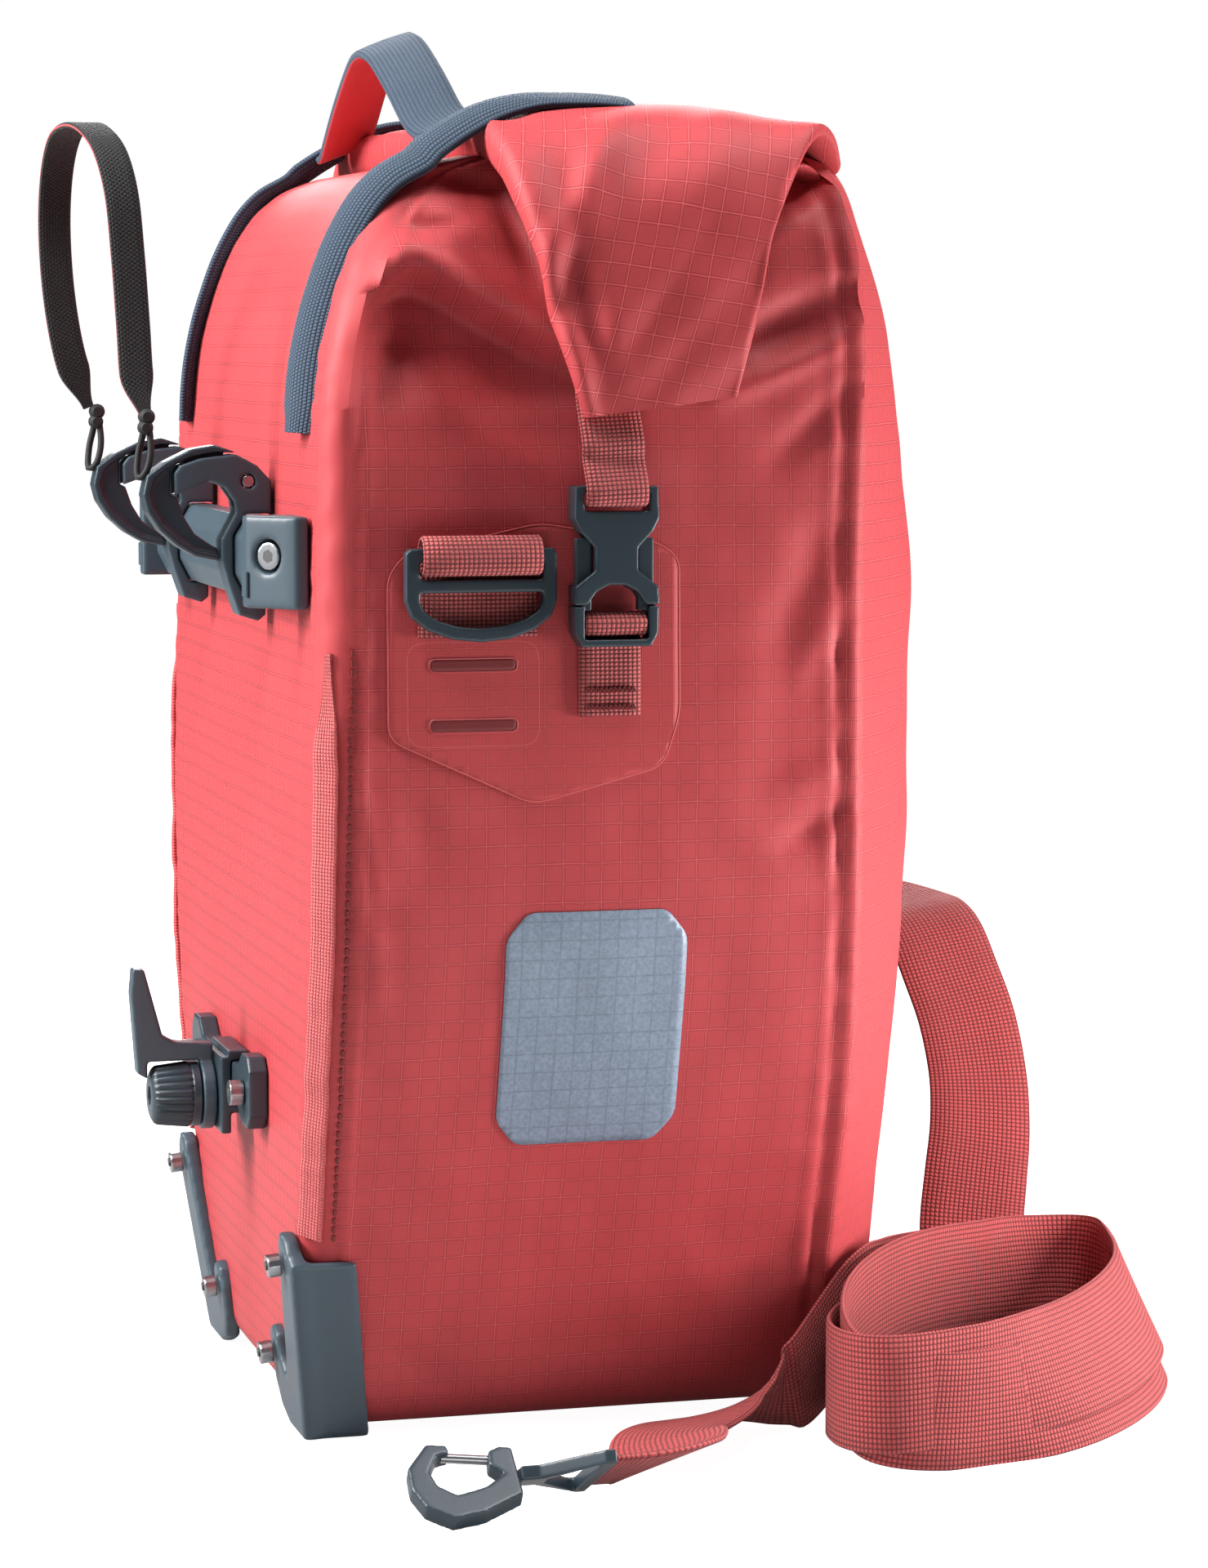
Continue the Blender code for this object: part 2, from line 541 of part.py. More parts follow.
# ---------------------------------------------------------------- lower clamp
def make_lower_clamp():
    outline = [(54.0, 101.0), (54.0, 116.0), (50.0, 120.5), (40.0, 120.5), (33.0, 115.0),
               (-33.0, 115.0), (-40.0, 120.5), (-50.0, 120.5), (-54.0, 116.0), (-54.0, 101.0),
               (-50.0, 96.5), (-40.0, 96.5), (-33.0, 101.0), (33.0, 101.0), (40.0, 96.5), (50.0, 96.5)]
    paint(prism("lower_rail", outline, in_xz, LOWER_Y, LOWER_Y + 6.5), PETROL, 0.45)
    for side, sign in sides():
        top = LOWER_Y + 6.5 + GAP
        screw = rod("lower_rail_screw_" + side, (sign * 44.5, top, LOWER_Z),
                    (sign * 44.5, top + 4.6, LOWER_Z), 4.2, 16)
        paint(screw, STEEL, 0.3, 1.0)
    base = LOWER_Y + 6.5 + GAP
    block = box("lower_slider", (-24.0, base, 90.5), (8.0, base + 3.4, 116.5),
                (CLAMP_X, base, CLAMP_Z))
    upper = box("add_jaw_top", (-24.0, LOWER_Y + 0.6, 115.0 + GAP), (8.0, base + 1.0, 118.6))
    lower = box("add_jaw_low", (-24.0, LOWER_Y + 0.6, 97.4), (8.0, base + 1.0, 101.0 - GAP))
    paint(join(block, upper, lower), PETROL, 0.45)
    front = base + 3.4 + GAP
    pivot = (CLAMP_X, front, CLAMP_Z)
    disc = rod("lower_hook", (CLAMP_X, front, CLAMP_Z), (CLAMP_X, front + 4.4, CLAMP_Z), 12.0, 24,
               pivot)
    arm_outline = [(front, 109.0), (front + 4.4, 109.0), (front + 4.4, 113.8), (123.6, 113.8),
                   (123.6, 108.0), (127.0, 110.0), (129.0, 137.0), (128.2, 145.4), (124.4, 145.2),
                   (118.4, 122.6), (114.2, 120.2), (front, 119.4)]
    arm = prism("add_arm", arm_outline, in_yz, CLAMP_X - 3.5, CLAMP_X + 3.5)
    paint(join(disc, arm), PETROL, 0.4)
    knob_back = front + 4.4 + GAP
    knob = rod("clamp_knob", (CLAMP_X, knob_back, CLAMP_Z), (CLAMP_X, 122.6, CLAMP_Z), KNOB_R, 24,
               (CLAMP_X, knob_back, CLAMP_Z))
    paint(knob, PETROL, 0.4)


# ---------------------------------------------------------------- corner guards
GUARD_OUTLINE = [               # distance from the middle, height; a hook shape round the corner
    (87.2, 0.0), (62.0, 0.0), (52.0, 3.5), (46.0, 12.0), (44.5, 23.0), (47.0, 30.0), (52.5, 31.8),
    (58.0, 29.5), (60.0, 22.5), (64.5, 17.5), (70.0, 20.0), (74.0, 30.0), (79.0, 45.0),
    (83.5, 58.0), (87.5, 68.0), (92.5, 71.0), (98.0, 69.0), (103.0, 63.5), (105.8, 61.8),
]
GUARD_SCREWS = (("outer", 92.5, 60.0), ("inner", 52.5, 22.5))


def guard_back(z):
    """Y of the back panel behind a guard."""
    return 80.0 + (z - 0.0) * (88.0 - 80.0) / 62.0


def make_corner_guards():
    for side, sign in sides():
        low, high = GAP + 0.2, 6.2
        guard = prism("corner_guard_" + side, [(sign * u, v) for u, v in GUARD_OUTLINE],
                      lambda u, v, t: (u, guard_back(v) + t, v), low, high)
        rings = []
        for z in (0.0, 62.0):
            w = 81.3 + (z - 0.0) * (100.5 - 81.3) / 62.0
            back = guard_back(z)
            corner = [(w + GAP, back - 16.0), (w + 5.0, back - 16.0), (w + 5.0, back + 5.6),
                      (w + GAP, back + 5.6)]
            rings.append([(sign * x, y, z) for x, y in corner])
        flange = loft("add_flange_" + side, rings)
        paint(join(guard, flange), PETROL, 0.45)
        for place, x, z in GUARD_SCREWS:
            base = guard_back(z) + high + GAP + 0.4
            screw = rod("guard_screw_%s_%s" % (side, place), (sign * x, base, z),
                        (sign * x, base + 4.4, z - 0.5), 3.8, 14)
            paint(screw, STEEL, 0.3, 1.0)


# ---------------------------------------------------------------- shoulder strap
HANG_ROUTE = [                  # from the far snap hook, over a free arch, down to the coil
    (158.3, 39.7, 219.4), (158.3, 39.0, 208.0), (158.8, 36.0, 195.0), (160.3, 29.0, 178.0),
    (163.0, 16.0, 160.0), (166.0, -2.0, 143.0), (168.5, -24.0, 129.0), (170.0, -50.0, 119.0),
    (169.0, -78.0, 114.0), (165.0, -104.0, 115.0), (158.0, -128.0, 121.0), (148.0, -149.0, 129.5),
    (136.0, -166.0, 136.5), (122.0, -178.0, 140.5), (107.0, -185.0, 142.0), (96.0, -187.5, 140.5),
    (86.0, -190.0, 134.0), (76.0, -192.5, 121.0), (66.0, -195.8, 104.0), (57.0, -197.0, 84.0),
    (49.0, -195.0, 66.0), (42.0, -191.0, 49.5), (35.0, -187.0, 34.0), (28.0, -185.0, 21.5),
    (19.0, -184.0, 14.0), (9.0, -183.5, 14.0), (-1.0, -183.0, 17.5), (-10.0, -181.5, 20.0), (-18.0, -177.0, 20.5),
]
HANG_TURNS = [                  # direction of the webbing's width along that route
    (1, 0, 0), (1, 0, 0), (1, 0, 0), (1, 0, 0), (0.98, 0.05, 0.2), (0.9, 0.1, 0.4),
    (0.75, 0.1, 0.65), (0.5, 0.1, 0.85), (0.25, 0.1, 0.95), (0.1, 0.1, 1.0), (0.05, 0.0, 1.0),
    (0.0, -0.3, 0.95), (0.0, -0.65, 0.75), (0.0, -0.9, 0.4), (0, -1.0, 0.15), (0, -1.0, 0.09),
    (0, -1.0, 0.06), (0, -1.0, 0.05), (0, -1.0, 0.04), (0, -1.0, 0.03), (-0.05, -1.0, 0.03),
    (-0.15, -1.0, 0.03), (-0.25, -1.0, 0.04), (-0.25, -1.0, 0.1), (-0.2, -1.0, 0.3),
    (-0.1, -0.75, 0.6), (-0.05, -0.4, 0.9), (0.0, -0.1, 1.0), (0.0, 0.0, 1.0),
]
TAIL_ROUTE = [                  # from the coil to the free snap hook
    (-116.0, -76.5, 18.0), (-117.0, -69.0, 16.0), (-119.0, -57.0, 12.5), (-124.0, -45.0, 10.5), (-132.0, -33.5, 10.0), (-142.5, -22.5, 10.0),
    (-154.0, -17.0, 10.2), (-165.5, -14.5, 10.6), (-177.0, -11.5, 11.2), (-185.5, -5.0, 11.6),
    (-189.6, 3.0, 11.6), (-190.1, 8.5, 11.6), (-190.1, 13.6, 11.6),
]
TAIL_TURNS = [
    (-0.35, 0.2, 0.95), (-0.6, 0.15, 0.75), (-0.85, 0.0, 0.5),
    (-0.95, -0.2, 0.35), (-0.9, -0.4, 0.2), (-0.8, -0.6, 0.15), (-0.7, -0.7, 0.2),
    (-0.7, -0.68, 0.3), (-0.72, -0.6, 0.38), (-0.78, -0.4, 0.42), (-0.85, -0.2, 0.438),
    (-0.9, -0.08, 0.438), (-0.9, 0.0, 0.438),
]


def same_way(turns):
    """Keeps the width direction from flipping between neighbours."""
    steady = [Vector(turns[0])]
    for turn in turns[1:]:
        turn = Vector(turn)
        steady.append(turn if turn.dot(steady[-1]) >= 0 else -turn)
    return steady


def make_shoulder_strap():
    hang = ribbon("shoulder_strap_hang", HANG_ROUTE, same_way(HANG_TURNS), WEB_38, STRAP_T)
    paint(hang, CORAL, 0.8)
    tail = ribbon("shoulder_strap_tail", TAIL_ROUTE, same_way(TAIL_TURNS), WEB_38, STRAP_T)
    paint(tail, CORAL, 0.8)
    count = 28
    verts, faces = [], []
    for shrink, centre in ((0.0, COIL_LOW), (0.0, COIL_HIGH), (COIL_WALL, COIL_HIGH),
                           (COIL_WALL, COIL_LOW)):
        for u, v in circle(0, 0, 1.0, count):
            u, v = u * (COIL_A - shrink), v * (COIL_B - shrink)
            verts.append((centre[0] + u * math.cos(COIL_TURN) - v * math.sin(COIL_TURN),
                          centre[1] + u * math.sin(COIL_TURN) + v * math.cos(COIL_TURN), centre[2]))
    for ring in range(4):
        for i in range(count):
            j, after = (i + 1) % count, (ring + 1) % 4
            faces.append((ring * count + i, ring * count + j, after * count + j, after * count + i))
    paint(solid("shoulder_strap_coil", verts, faces, smooth=True), CORAL, 0.8)


# ---------------------------------------------------------------- snap hooks
SNAP_OUTER = [                  # along the hook, across it; the gate closes the top edge
    (41.0, 6.0), (54.0, -0.4), (64.0, -2.2), (71.8, 3.0), (75.0, 10.8), (74.6, 19.0), (67.4, 28.2),
    (61.0, 27.4), (60.6, 24.2), (64.6, 23.4), (68.0, 17.0), (66.6, 11.4), (61.4, 7.2),
    (52.4, 9.6), (45.4, 14.6), (49.4, 18.6), (48.6, 24.0), (45.0, 25.6), (41.0, 24.8),
]
SNAP_AXIS_V = 15.4              # the swivel's axis across the hook


def floor_frame(u, v, t):
    """Place of the free snap hook, leaning on the ground: along, across, through."""
    x, y, z = SNAP_O
    return (x + v * math.cos(SNAP_TILT) - t * math.sin(SNAP_TILT), y + u,
            z + v * math.sin(SNAP_TILT) + t * math.cos(SNAP_TILT))


def floor_eye(u, v, t):
    """Place of the free hook's swivel eye, turned about the hook's long axis."""
    x, y, z = floor_frame(u, SNAP_AXIS_V, 0.0)
    v -= SNAP_AXIS_V
    return (x + v * math.cos(EYE_TILT) - t * math.sin(EYE_TILT), y,
            z + v * math.sin(EYE_TILT) + t * math.cos(EYE_TILT))


def hung_frame(u, v, t):
    """Place of the far snap hook, which hangs from the right D-ring."""
    return (HUNG_O[0] + (v - SNAP_AXIS_V), HUNG_O[1] + t, HUNG_O[2] + u)


def make_snap_hook(side, frame, eye_frame):
    pivot = frame(40.7, SNAP_AXIS_V, 0.0)
    body = prism("snap_hook_" + side, SNAP_OUTER, frame, -3.0, 3.0, pivot)
    paint(body, PETROL, 0.4)
    gate_outline = [(49.8, 21.4), (60.0, 21.6), (60.0, 23.9), (49.8, 24.0)]
    gate = prism("snap_gate_" + side, gate_outline, frame, -2.2, 2.2, frame(49.8, 22.6, 0.0))
    paint(gate, STEEL, 0.25, 1.0)
    mid = SNAP_AXIS_V
    eye_outline = [(40.4, mid + 5.0), (35.0, mid + 5.0), (18.0, mid + 21.5), (14.5, mid + 21.5),
                   (14.5, mid - 21.5), (18.0, mid - 21.5), (35.0, mid - 5.0), (40.4, mid - 5.0)]
    hole_outline = [(32.0, mid + 3.0), (20.5, mid + 18.0), (18.5, mid + 19.2), (18.5, mid - 19.2),
                    (20.5, mid - 18.0), (32.0, mid - 3.0)]
    eye = prism("snap_swivel_" + side, eye_outline, eye_frame, -2.2, 2.2, pivot)
    hole = prism("cut_swivel_" + side, hole_outline, eye_frame, -4.0, 4.0)
    paint(cut(eye, hole), PETROL, 0.4)


def main():
    clear_scene()
    make_back_panel()
    make_front_panel()
    make_side_panels()
    make_base_panel()
    make_back_board()
    make_roll_top()
    make_trim_straps()
    make_carry_handle()
    make_reflector_patch()
    make_anchor_patches()
    make_d_rings()
    make_buckles()
    make_hook_rail()
    make_hooks()
    make_release_loop()
    make_lower_clamp()
    make_corner_guards()
    make_shoulder_strap()
    make_snap_hook("left", floor_frame, floor_eye)
    make_snap_hook("right", hung_frame, hung_frame)


main()
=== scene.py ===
"""Looks of the roll-top pannier bag: welded ripstop shell, rolled mouth, webbing and rack hardware."""
import json
import math

import bmesh
import bpy
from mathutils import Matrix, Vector, noise


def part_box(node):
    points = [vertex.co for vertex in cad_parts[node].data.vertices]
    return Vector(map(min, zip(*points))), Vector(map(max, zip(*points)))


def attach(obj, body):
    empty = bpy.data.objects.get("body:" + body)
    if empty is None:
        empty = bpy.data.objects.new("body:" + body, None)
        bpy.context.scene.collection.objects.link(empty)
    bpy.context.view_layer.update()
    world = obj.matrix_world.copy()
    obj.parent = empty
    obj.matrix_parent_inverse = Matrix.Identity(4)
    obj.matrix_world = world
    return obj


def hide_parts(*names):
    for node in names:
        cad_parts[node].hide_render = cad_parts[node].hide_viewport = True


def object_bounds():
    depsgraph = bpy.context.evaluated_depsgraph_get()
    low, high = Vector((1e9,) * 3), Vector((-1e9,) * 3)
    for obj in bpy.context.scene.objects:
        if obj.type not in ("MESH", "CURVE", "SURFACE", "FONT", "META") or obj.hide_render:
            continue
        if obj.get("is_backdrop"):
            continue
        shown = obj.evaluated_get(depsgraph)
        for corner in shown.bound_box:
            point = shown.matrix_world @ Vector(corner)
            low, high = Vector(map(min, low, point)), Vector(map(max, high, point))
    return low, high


MM = 0.001
SIDES = ((-1, "left"), (1, "right"))
HOOK_X = 52.5           # the rack hooks, each side of the middle
CORD_Y = 128.5          # the cords of the release loop
RING_Y = 39.7           # the D-rings and the clipped snap hook
HANG_X = 158.3          # the clipped snap hook and the strap that hangs from it
BUCKLE_Y = -2.5
STRAP_WIDTH = 38.0
TRIM_WIDTH = 20.0
BUCKLE_WIDTH = 20.0
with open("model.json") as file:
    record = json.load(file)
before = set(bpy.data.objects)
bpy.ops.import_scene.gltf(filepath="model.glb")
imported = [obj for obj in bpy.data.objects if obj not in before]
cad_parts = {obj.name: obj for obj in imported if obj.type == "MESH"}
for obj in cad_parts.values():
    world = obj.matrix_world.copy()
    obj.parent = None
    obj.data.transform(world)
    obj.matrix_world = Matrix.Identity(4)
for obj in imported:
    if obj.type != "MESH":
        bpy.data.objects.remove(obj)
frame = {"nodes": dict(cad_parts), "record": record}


def note_size(key, sizes={}):
    """Keeps the object's size before and after the looks are added."""
    low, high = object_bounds()
    sizes[key] = [[float(x) for x in low], [float(x) for x in high]]


note_size("start")

# -------------------- camera
camera = bpy.data.objects.new("camera", bpy.data.cameras.new("camera"))
bpy.context.scene.collection.objects.link(camera)
camera.data.lens = 101.25
camera.location = (-1.4631, 0.3594, 0.3563)
camera.rotation_euler = (math.radians(84.2), 0.0, math.radians(-105.2))
camera.data.clip_start, camera.data.clip_end = 0.05, 30.0
bpy.context.scene.camera = camera


# -------------------- small tools
def clamp(x, low=0.0, high=1.0):
    return max(low, min(high, x))


def smooth(edge0, edge1, x):
    t = clamp((x - edge0) / (edge1 - edge0))
    return t * t * (3.0 - 2.0 * t)


def bell(x, centre, width):
    return math.exp(-((x - centre) / width) ** 2)


def lerp(a, b, t):
    return a + (b - a) * t


def table(rows, x):
    """Smoothly interpolated row of a table whose first column is x."""
    if x <= rows[0][0]:
        return list(rows[0][1:])
    for i in range(len(rows) - 1):
        a, b = rows[i], rows[i + 1]
        if x <= b[0]:
            t = (x - a[0]) / (b[0] - a[0])
            before, after = rows[max(i - 1, 0)], rows[min(i + 2, len(rows) - 1)]
            out = []
            for k in range(1, len(a)):
                m0 = (b[k] - before[k]) / (b[0] - before[0])
                m1 = (after[k] - a[k]) / (after[0] - a[0])
                h = b[0] - a[0]
                t2, t3 = t * t, t * t * t
                out.append((2 * t3 - 3 * t2 + 1) * a[k] + (t3 - 2 * t2 + t) * h * m0
                           + (-2 * t3 + 3 * t2) * b[k] + (t3 - t2) * h * m1)
            return out
    return list(rows[-1][1:])


def rounded(points, count=0, step=1.0, least=2):
    """Catmull-Rom curve through the points, in even steps: so many points, or one each so many mm."""
    pts = [Vector(p) for p in points]
    dense = []
    for i in range(len(pts) - 1):
        p0, p1, p2, p3 = pts[max(i - 1, 0)], pts[i], pts[i + 1], pts[min(i + 2, len(pts) - 1)]
        for k in range(24):
            t = k / 24
            dense.append(0.5 * ((2 * p1) + (p2 - p0) * t + (2 * p0 - 5 * p1 + 4 * p2 - p3) * t * t
                                + (3 * p1 - p0 - 3 * p2 + p3) * t ** 3))
    dense.append(pts[-1])
    lengths = [0.0]
    for a, b in zip(dense, dense[1:]):
        lengths.append(lengths[-1] + (Vector(b[:3]) - Vector(a[:3])).length)
    count = count or max(least, int(lengths[-1] / step))
    out, j = [], 0
    for i in range(count):
        want = lengths[-1] * i / (count - 1)
        while j < len(lengths) - 2 and lengths[j + 1] < want:
            j += 1
        t = (want - lengths[j]) / max(lengths[j + 1] - lengths[j], 1e-9)
        out.append(dense[j].lerp(dense[j + 1], clamp(t)))
    return out, lengths[-1]


def ripple(x, y, z, size, seed=0.0):
    """Soft noise from -1 to 1, with features of about the given size in mm."""
    return noise.noise(Vector((x / size + seed, y / size - seed * 0.7, z / size + seed * 1.3)))


# -------------------- materials
def new_look(name, **settings):
    """New material: itself, its node tree and its shader, with named shader inputs set."""
    mat = bpy.data.materials.new(name)
    mat.use_nodes = True
    shader = mat.node_tree.nodes["Principled BSDF"]
    for key, value in settings.items():
        shader.inputs[key.replace("_", " ")].default_value = value
    return mat, mat.node_tree, shader


def feed(tree, socket, value):
    """Links a socket to another one, or sets it to a number or a colour."""
    if isinstance(value, tuple):
        socket.default_value = (*value, 1.0)
    elif isinstance(value, (int, float)):
        socket.default_value = value
    else:
        tree.links.new(value, socket)


def math_node(tree, kind, *values):
    node = tree.nodes.new("ShaderNodeMath")
    node.operation = kind
    for socket, value in zip(node.inputs, values):
        feed(tree, socket, value)
    return node.outputs[0]


def product(tree, a, b):
    return math_node(tree, 'MULTIPLY', a, b)


def mix_colour(tree, factor, a, b):
    node = tree.nodes.new("ShaderNodeMix")
    node.data_type = 'RGBA'
    for k, value in ((0, factor), (6, a), (7, b)):
        feed(tree, node.inputs[k], value)
    return node.outputs[2]


def bump_node(tree, height, strength, distance):
    node = tree.nodes.new("ShaderNodeBump")
    node.inputs["Strength"].default_value = strength
    node.inputs["Distance"].default_value = distance
    tree.links.new(height, node.inputs["Height"])
    return node.outputs[0]


def uv_axes(tree):
    uv = tree.nodes.new("ShaderNodeUVMap")
    uv.uv_map = "UVMap"
    split = tree.nodes.new("ShaderNodeSeparateXYZ")
    tree.links.new(uv.outputs[0], split.inputs[0])
    return uv.outputs[0], split.outputs[0], split.outputs[1]


def wave(tree, x, pitch):
    """abs(sin) with the given pitch in metres."""
    turn = math_node(tree, 'MULTIPLY_ADD', x, math.pi / pitch, 0.0)
    return math_node(tree, 'ABSOLUTE', math_node(tree, 'SINE', turn))


def noise_of(tree, vector, scale, detail=2.0):
    node = tree.nodes.new("ShaderNodeTexNoise")
    node.inputs["Scale"].default_value = scale
    node.inputs["Detail"].default_value = detail
    tree.links.new(vector, node.inputs["Vector"])
    return node.outputs[0]


def shaded(colour, factor, plus=0.0):
    return tuple(clamp(c * factor + plus) for c in colour)


GRID_PITCH = 0.0062     # metres between the thick threads of the ripstop
BEAD_PITCH = 0.00062    # metres between the threads of its plain weave


def fabric(name, colour, dark, pitch=GRID_PITCH, grid=1.0, rough=0.55, light=1.5):
    """Coated ripstop: fine plain weave with a grid of thicker, paler threads."""
    mat, tree, shader = new_look(name, Roughness=rough, Specular_IOR_Level=0.25)
    uv, u, v = uv_axes(tree)
    wobble = noise_of(tree, uv, 90.0, 1.0)
    cores, edges = [], []
    for axis in (u, v):
        near = wave(tree, math_node(tree, 'MULTIPLY_ADD', wobble, 0.0009, axis), pitch)
        cores.append(math_node(tree, 'LESS_THAN', near, 0.10))
        edges.append(math_node(tree, 'LESS_THAN', near, 0.27))
    core = math_node(tree, 'MAXIMUM', *cores)
    border = math_node(tree, 'MAXIMUM', *edges)
    beads = product(tree, wave(tree, u, BEAD_PITCH), wave(tree, v, BEAD_PITCH))
    cloudy = product(tree, noise_of(tree, uv, 14.0, 3.0), 0.16)
    shade = mix_colour(tree, cloudy, colour, dark)
    woven = mix_colour(tree, product(tree, beads, 0.22), shade, shaded(colour, 1.3))
    drawn = mix_colour(tree, product(tree, border, 0.42 * grid), woven, dark)
    dots = product(tree, core, math_node(tree, 'MULTIPLY_ADD', beads, 0.5, 0.25))
    final = mix_colour(tree, product(tree, dots, grid), drawn, shaded(colour, light, 0.05))
    tree.links.new(final, shader.inputs["Base Color"])
    height = math_node(tree, 'ADD', product(tree, beads, 0.6), product(tree, core, 1.4 * grid))
    tree.links.new(bump_node(tree, height, 0.5, 0.00016), shader.inputs["Normal"])
    return mat


def woven_strap(name, colour, dark, across=0.0016, along=0.0012, stagger=0.0):
    """Webbing: rows of small round beads, with painted shade darkening their sides and the gaps between them.
    """
    mat, tree, shader = new_look(name, Roughness=0.75, Specular_IOR_Level=0.3, Sheen_Weight=0.08)
    uv, u, v = uv_axes(tree)
    column = math_node(tree, 'FLOOR', math_node(tree, 'DIVIDE', u, across))
    shift = product(tree, math_node(tree, 'MODULO', column, 2.0), along * stagger)
    row = wave(tree, math_node(tree, 'ADD', v, shift), along)
    bead = math_node(tree, 'POWER', product(tree, wave(tree, u, across), row), 0.6)
    worn = product(tree, noise_of(tree, uv, 60.0), 0.25)
    # each bead runs from the dark colour at its edges to the webbing colour at its crown: painted shade in
    # the gaps; the noise adds random darker patches
    final = mix_colour(tree, worn, mix_colour(tree, bead, dark, colour), dark)
    tree.links.new(final, shader.inputs["Base Color"])
    tree.links.new(bump_node(tree, bead, 0.9, 0.0005), shader.inputs["Normal"])
    return mat


def moulded(name, colour, rough=0.42, grain=0.25):
    """Moulded plastic with a fine grain and slightly uneven colour."""
    mat, tree, shader = new_look(name, Roughness=rough, Specular_IOR_Level=0.5)
    where = tree.nodes.new("ShaderNodeTexCoord").outputs["Object"]
    fine = noise_of(tree, where, 1800.0)
    tree.links.new(bump_node(tree, fine, grain, 0.0001), shader.inputs["Normal"])
    uneven = mix_colour(tree, noise_of(tree, where, 40.0), shaded(colour, 0.85), shaded(colour, 1.15))
    tree.links.new(uneven, shader.inputs["Base Color"])
    return mat


def metal(name, colour, rough):
    """Plain metal with slightly uneven colour."""
    mat, tree, shader = new_look(name, Metallic=1.0, Roughness=rough)
    where = tree.nodes.new("ShaderNodeTexCoord").outputs["Object"]
    uneven = mix_colour(tree, noise_of(tree, where, 900.0), shaded(colour, 0.8), colour)
    tree.links.new(uneven, shader.inputs["Base Color"])
    return mat


def film(name, colour):
    """Retroreflective film: a faint honeycomb of beads over the ripstop below."""
    mat, tree, shader = new_look(name, Roughness=0.4)
    uv, u, v = uv_axes(tree)
    cells = tree.nodes.new("ShaderNodeTexVoronoi")
    cells.inputs["Scale"].default_value = 900.0
    tree.links.new(uv, cells.inputs["Vector"])
    lines = [math_node(tree, 'LESS_THAN', wave(tree, axis, GRID_PITCH), 0.14) for axis in (u, v)]
    thread = math_node(tree, 'MAXIMUM', *lines)
    base = mix_colour(tree, cells.outputs[0], colour, shaded(colour, 1.5))
    final = mix_colour(tree, product(tree, thread, 0.35), base, shaded(colour, 0.6))
    tree.links.new(final, shader.inputs["Base Color"])
    tree.links.new(bump_node(tree, thread, 0.3, 0.0001), shader.inputs["Normal"])
    return mat


CORAL, CORAL_DEEP = (0.47, 0.056, 0.062), (0.17, 0.011, 0.015)
M_SHELL = fabric("shell_ripstop", CORAL, CORAL_DEEP, grid=0.9)
M_FLAP = fabric("flap_ripstop", CORAL, CORAL_DEEP, pitch=0.0064, light=1.9)
M_BACK = fabric("back_ripstop", CORAL, CORAL_DEEP, light=0.9)
M_PLAIN = fabric("shell_plain", CORAL, CORAL_DEEP, grid=0.0)
M_PATCH = fabric("patch_film", (0.47, 0.057, 0.061), CORAL_DEEP, grid=0.6, rough=0.5)
M_WELD = moulded("weld_edge", (0.54, 0.09, 0.092), 0.5)
M_PATCH_RIM = moulded("patch_rim", (0.42, 0.05, 0.055), 0.45)
# dark coral: painted shade in the slots of the anchor patches, and the real dark thread of the stitches and
# bar tacks
M_SLOT_SHADE_AND_THREAD = moulded("slot_shade_and_dark_thread", (0.16, 0.008, 0.01), 0.6)
# the second colour of each webbing is painted shade for the gaps between its beads, also used for random
# darker patches
M_TAPE = woven_strap("seam_tape", (0.80, 0.17, 0.17), (0.46, 0.06, 0.065), 0.0011, 0.0011)
M_WEB = woven_strap("coral_webbing", (0.56, 0.085, 0.086), (0.09, 0.006, 0.008), 0.0017, 0.0014)
M_WEB_FINE = woven_strap("coral_webbing_fine", (0.68, 0.14, 0.135), (0.07, 0.006, 0.008), 0.0015, 0.0013)
M_NAVY = woven_strap("navy_webbing", (0.06, 0.10, 0.155), (0.008, 0.014, 0.028), 0.0015, 0.0011,
                     stagger=0.5)
M_BLACK = woven_strap("black_webbing", (0.013, 0.013, 0.015), (0.004, 0.004, 0.004), 0.001, 0.0014,
                      stagger=0.5)
M_LINING = moulded("coral_lining", (0.55, 0.06, 0.065), 0.6)
M_PETROL = moulded("petrol_plastic", (0.042, 0.066, 0.085))
M_PETROL_DARK = moulded("petrol_plastic_dark", (0.02, 0.034, 0.045), 0.38)
M_STEEL = metal("steel", (0.40, 0.41, 0.43), 0.32)
# near black: the back board and the rim stiffener, and painted shade in the recesses of the screws
M_BOARD_AND_RECESS_SHADE = moulded("board", (0.06, 0.06, 0.06), 0.6)
M_CORD = moulded("black_cord", (0.005, 0.005, 0.006), 0.7, 0.0)
M_FILM = film("reflective_film", (0.15, 0.19, 0.25))


# -------------------- mesh building
def piece(name, verts, faces, uvs, mats, body="bag", per_face=None, smooth_angle=50.0):
    """Mesh from mm points with one UV per vertex (metres), riding on a body.

    per_face holds each face's material slot; edges sharper than smooth_angle stay hard.
    """
    mesh = bpy.data.meshes.new(name)
    mesh.from_pydata([Vector(v) * MM for v in verts], [], faces)
    layer = mesh.uv_layers.new(name="UVMap")
    for loop in mesh.loops:
        layer.data[loop.index].uv = uvs[loop.vertex_index]
    for mat in mats:
        mesh.materials.append(mat)
    if per_face:
        mesh.polygons.foreach_set("material_index", per_face)
    obj = bpy.data.objects.new(name, mesh)
    bpy.context.scene.collection.objects.link(obj)
    bm = bmesh.new()
    bm.from_mesh(mesh)
    bmesh.ops.recalc_face_normals(bm, faces=bm.faces)
    bm.to_mesh(mesh)
    bm.free()
    mesh.shade_smooth()
    mesh.set_sharp_from_angle(angle=math.radians(smooth_angle))
    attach(obj, body)
    return obj


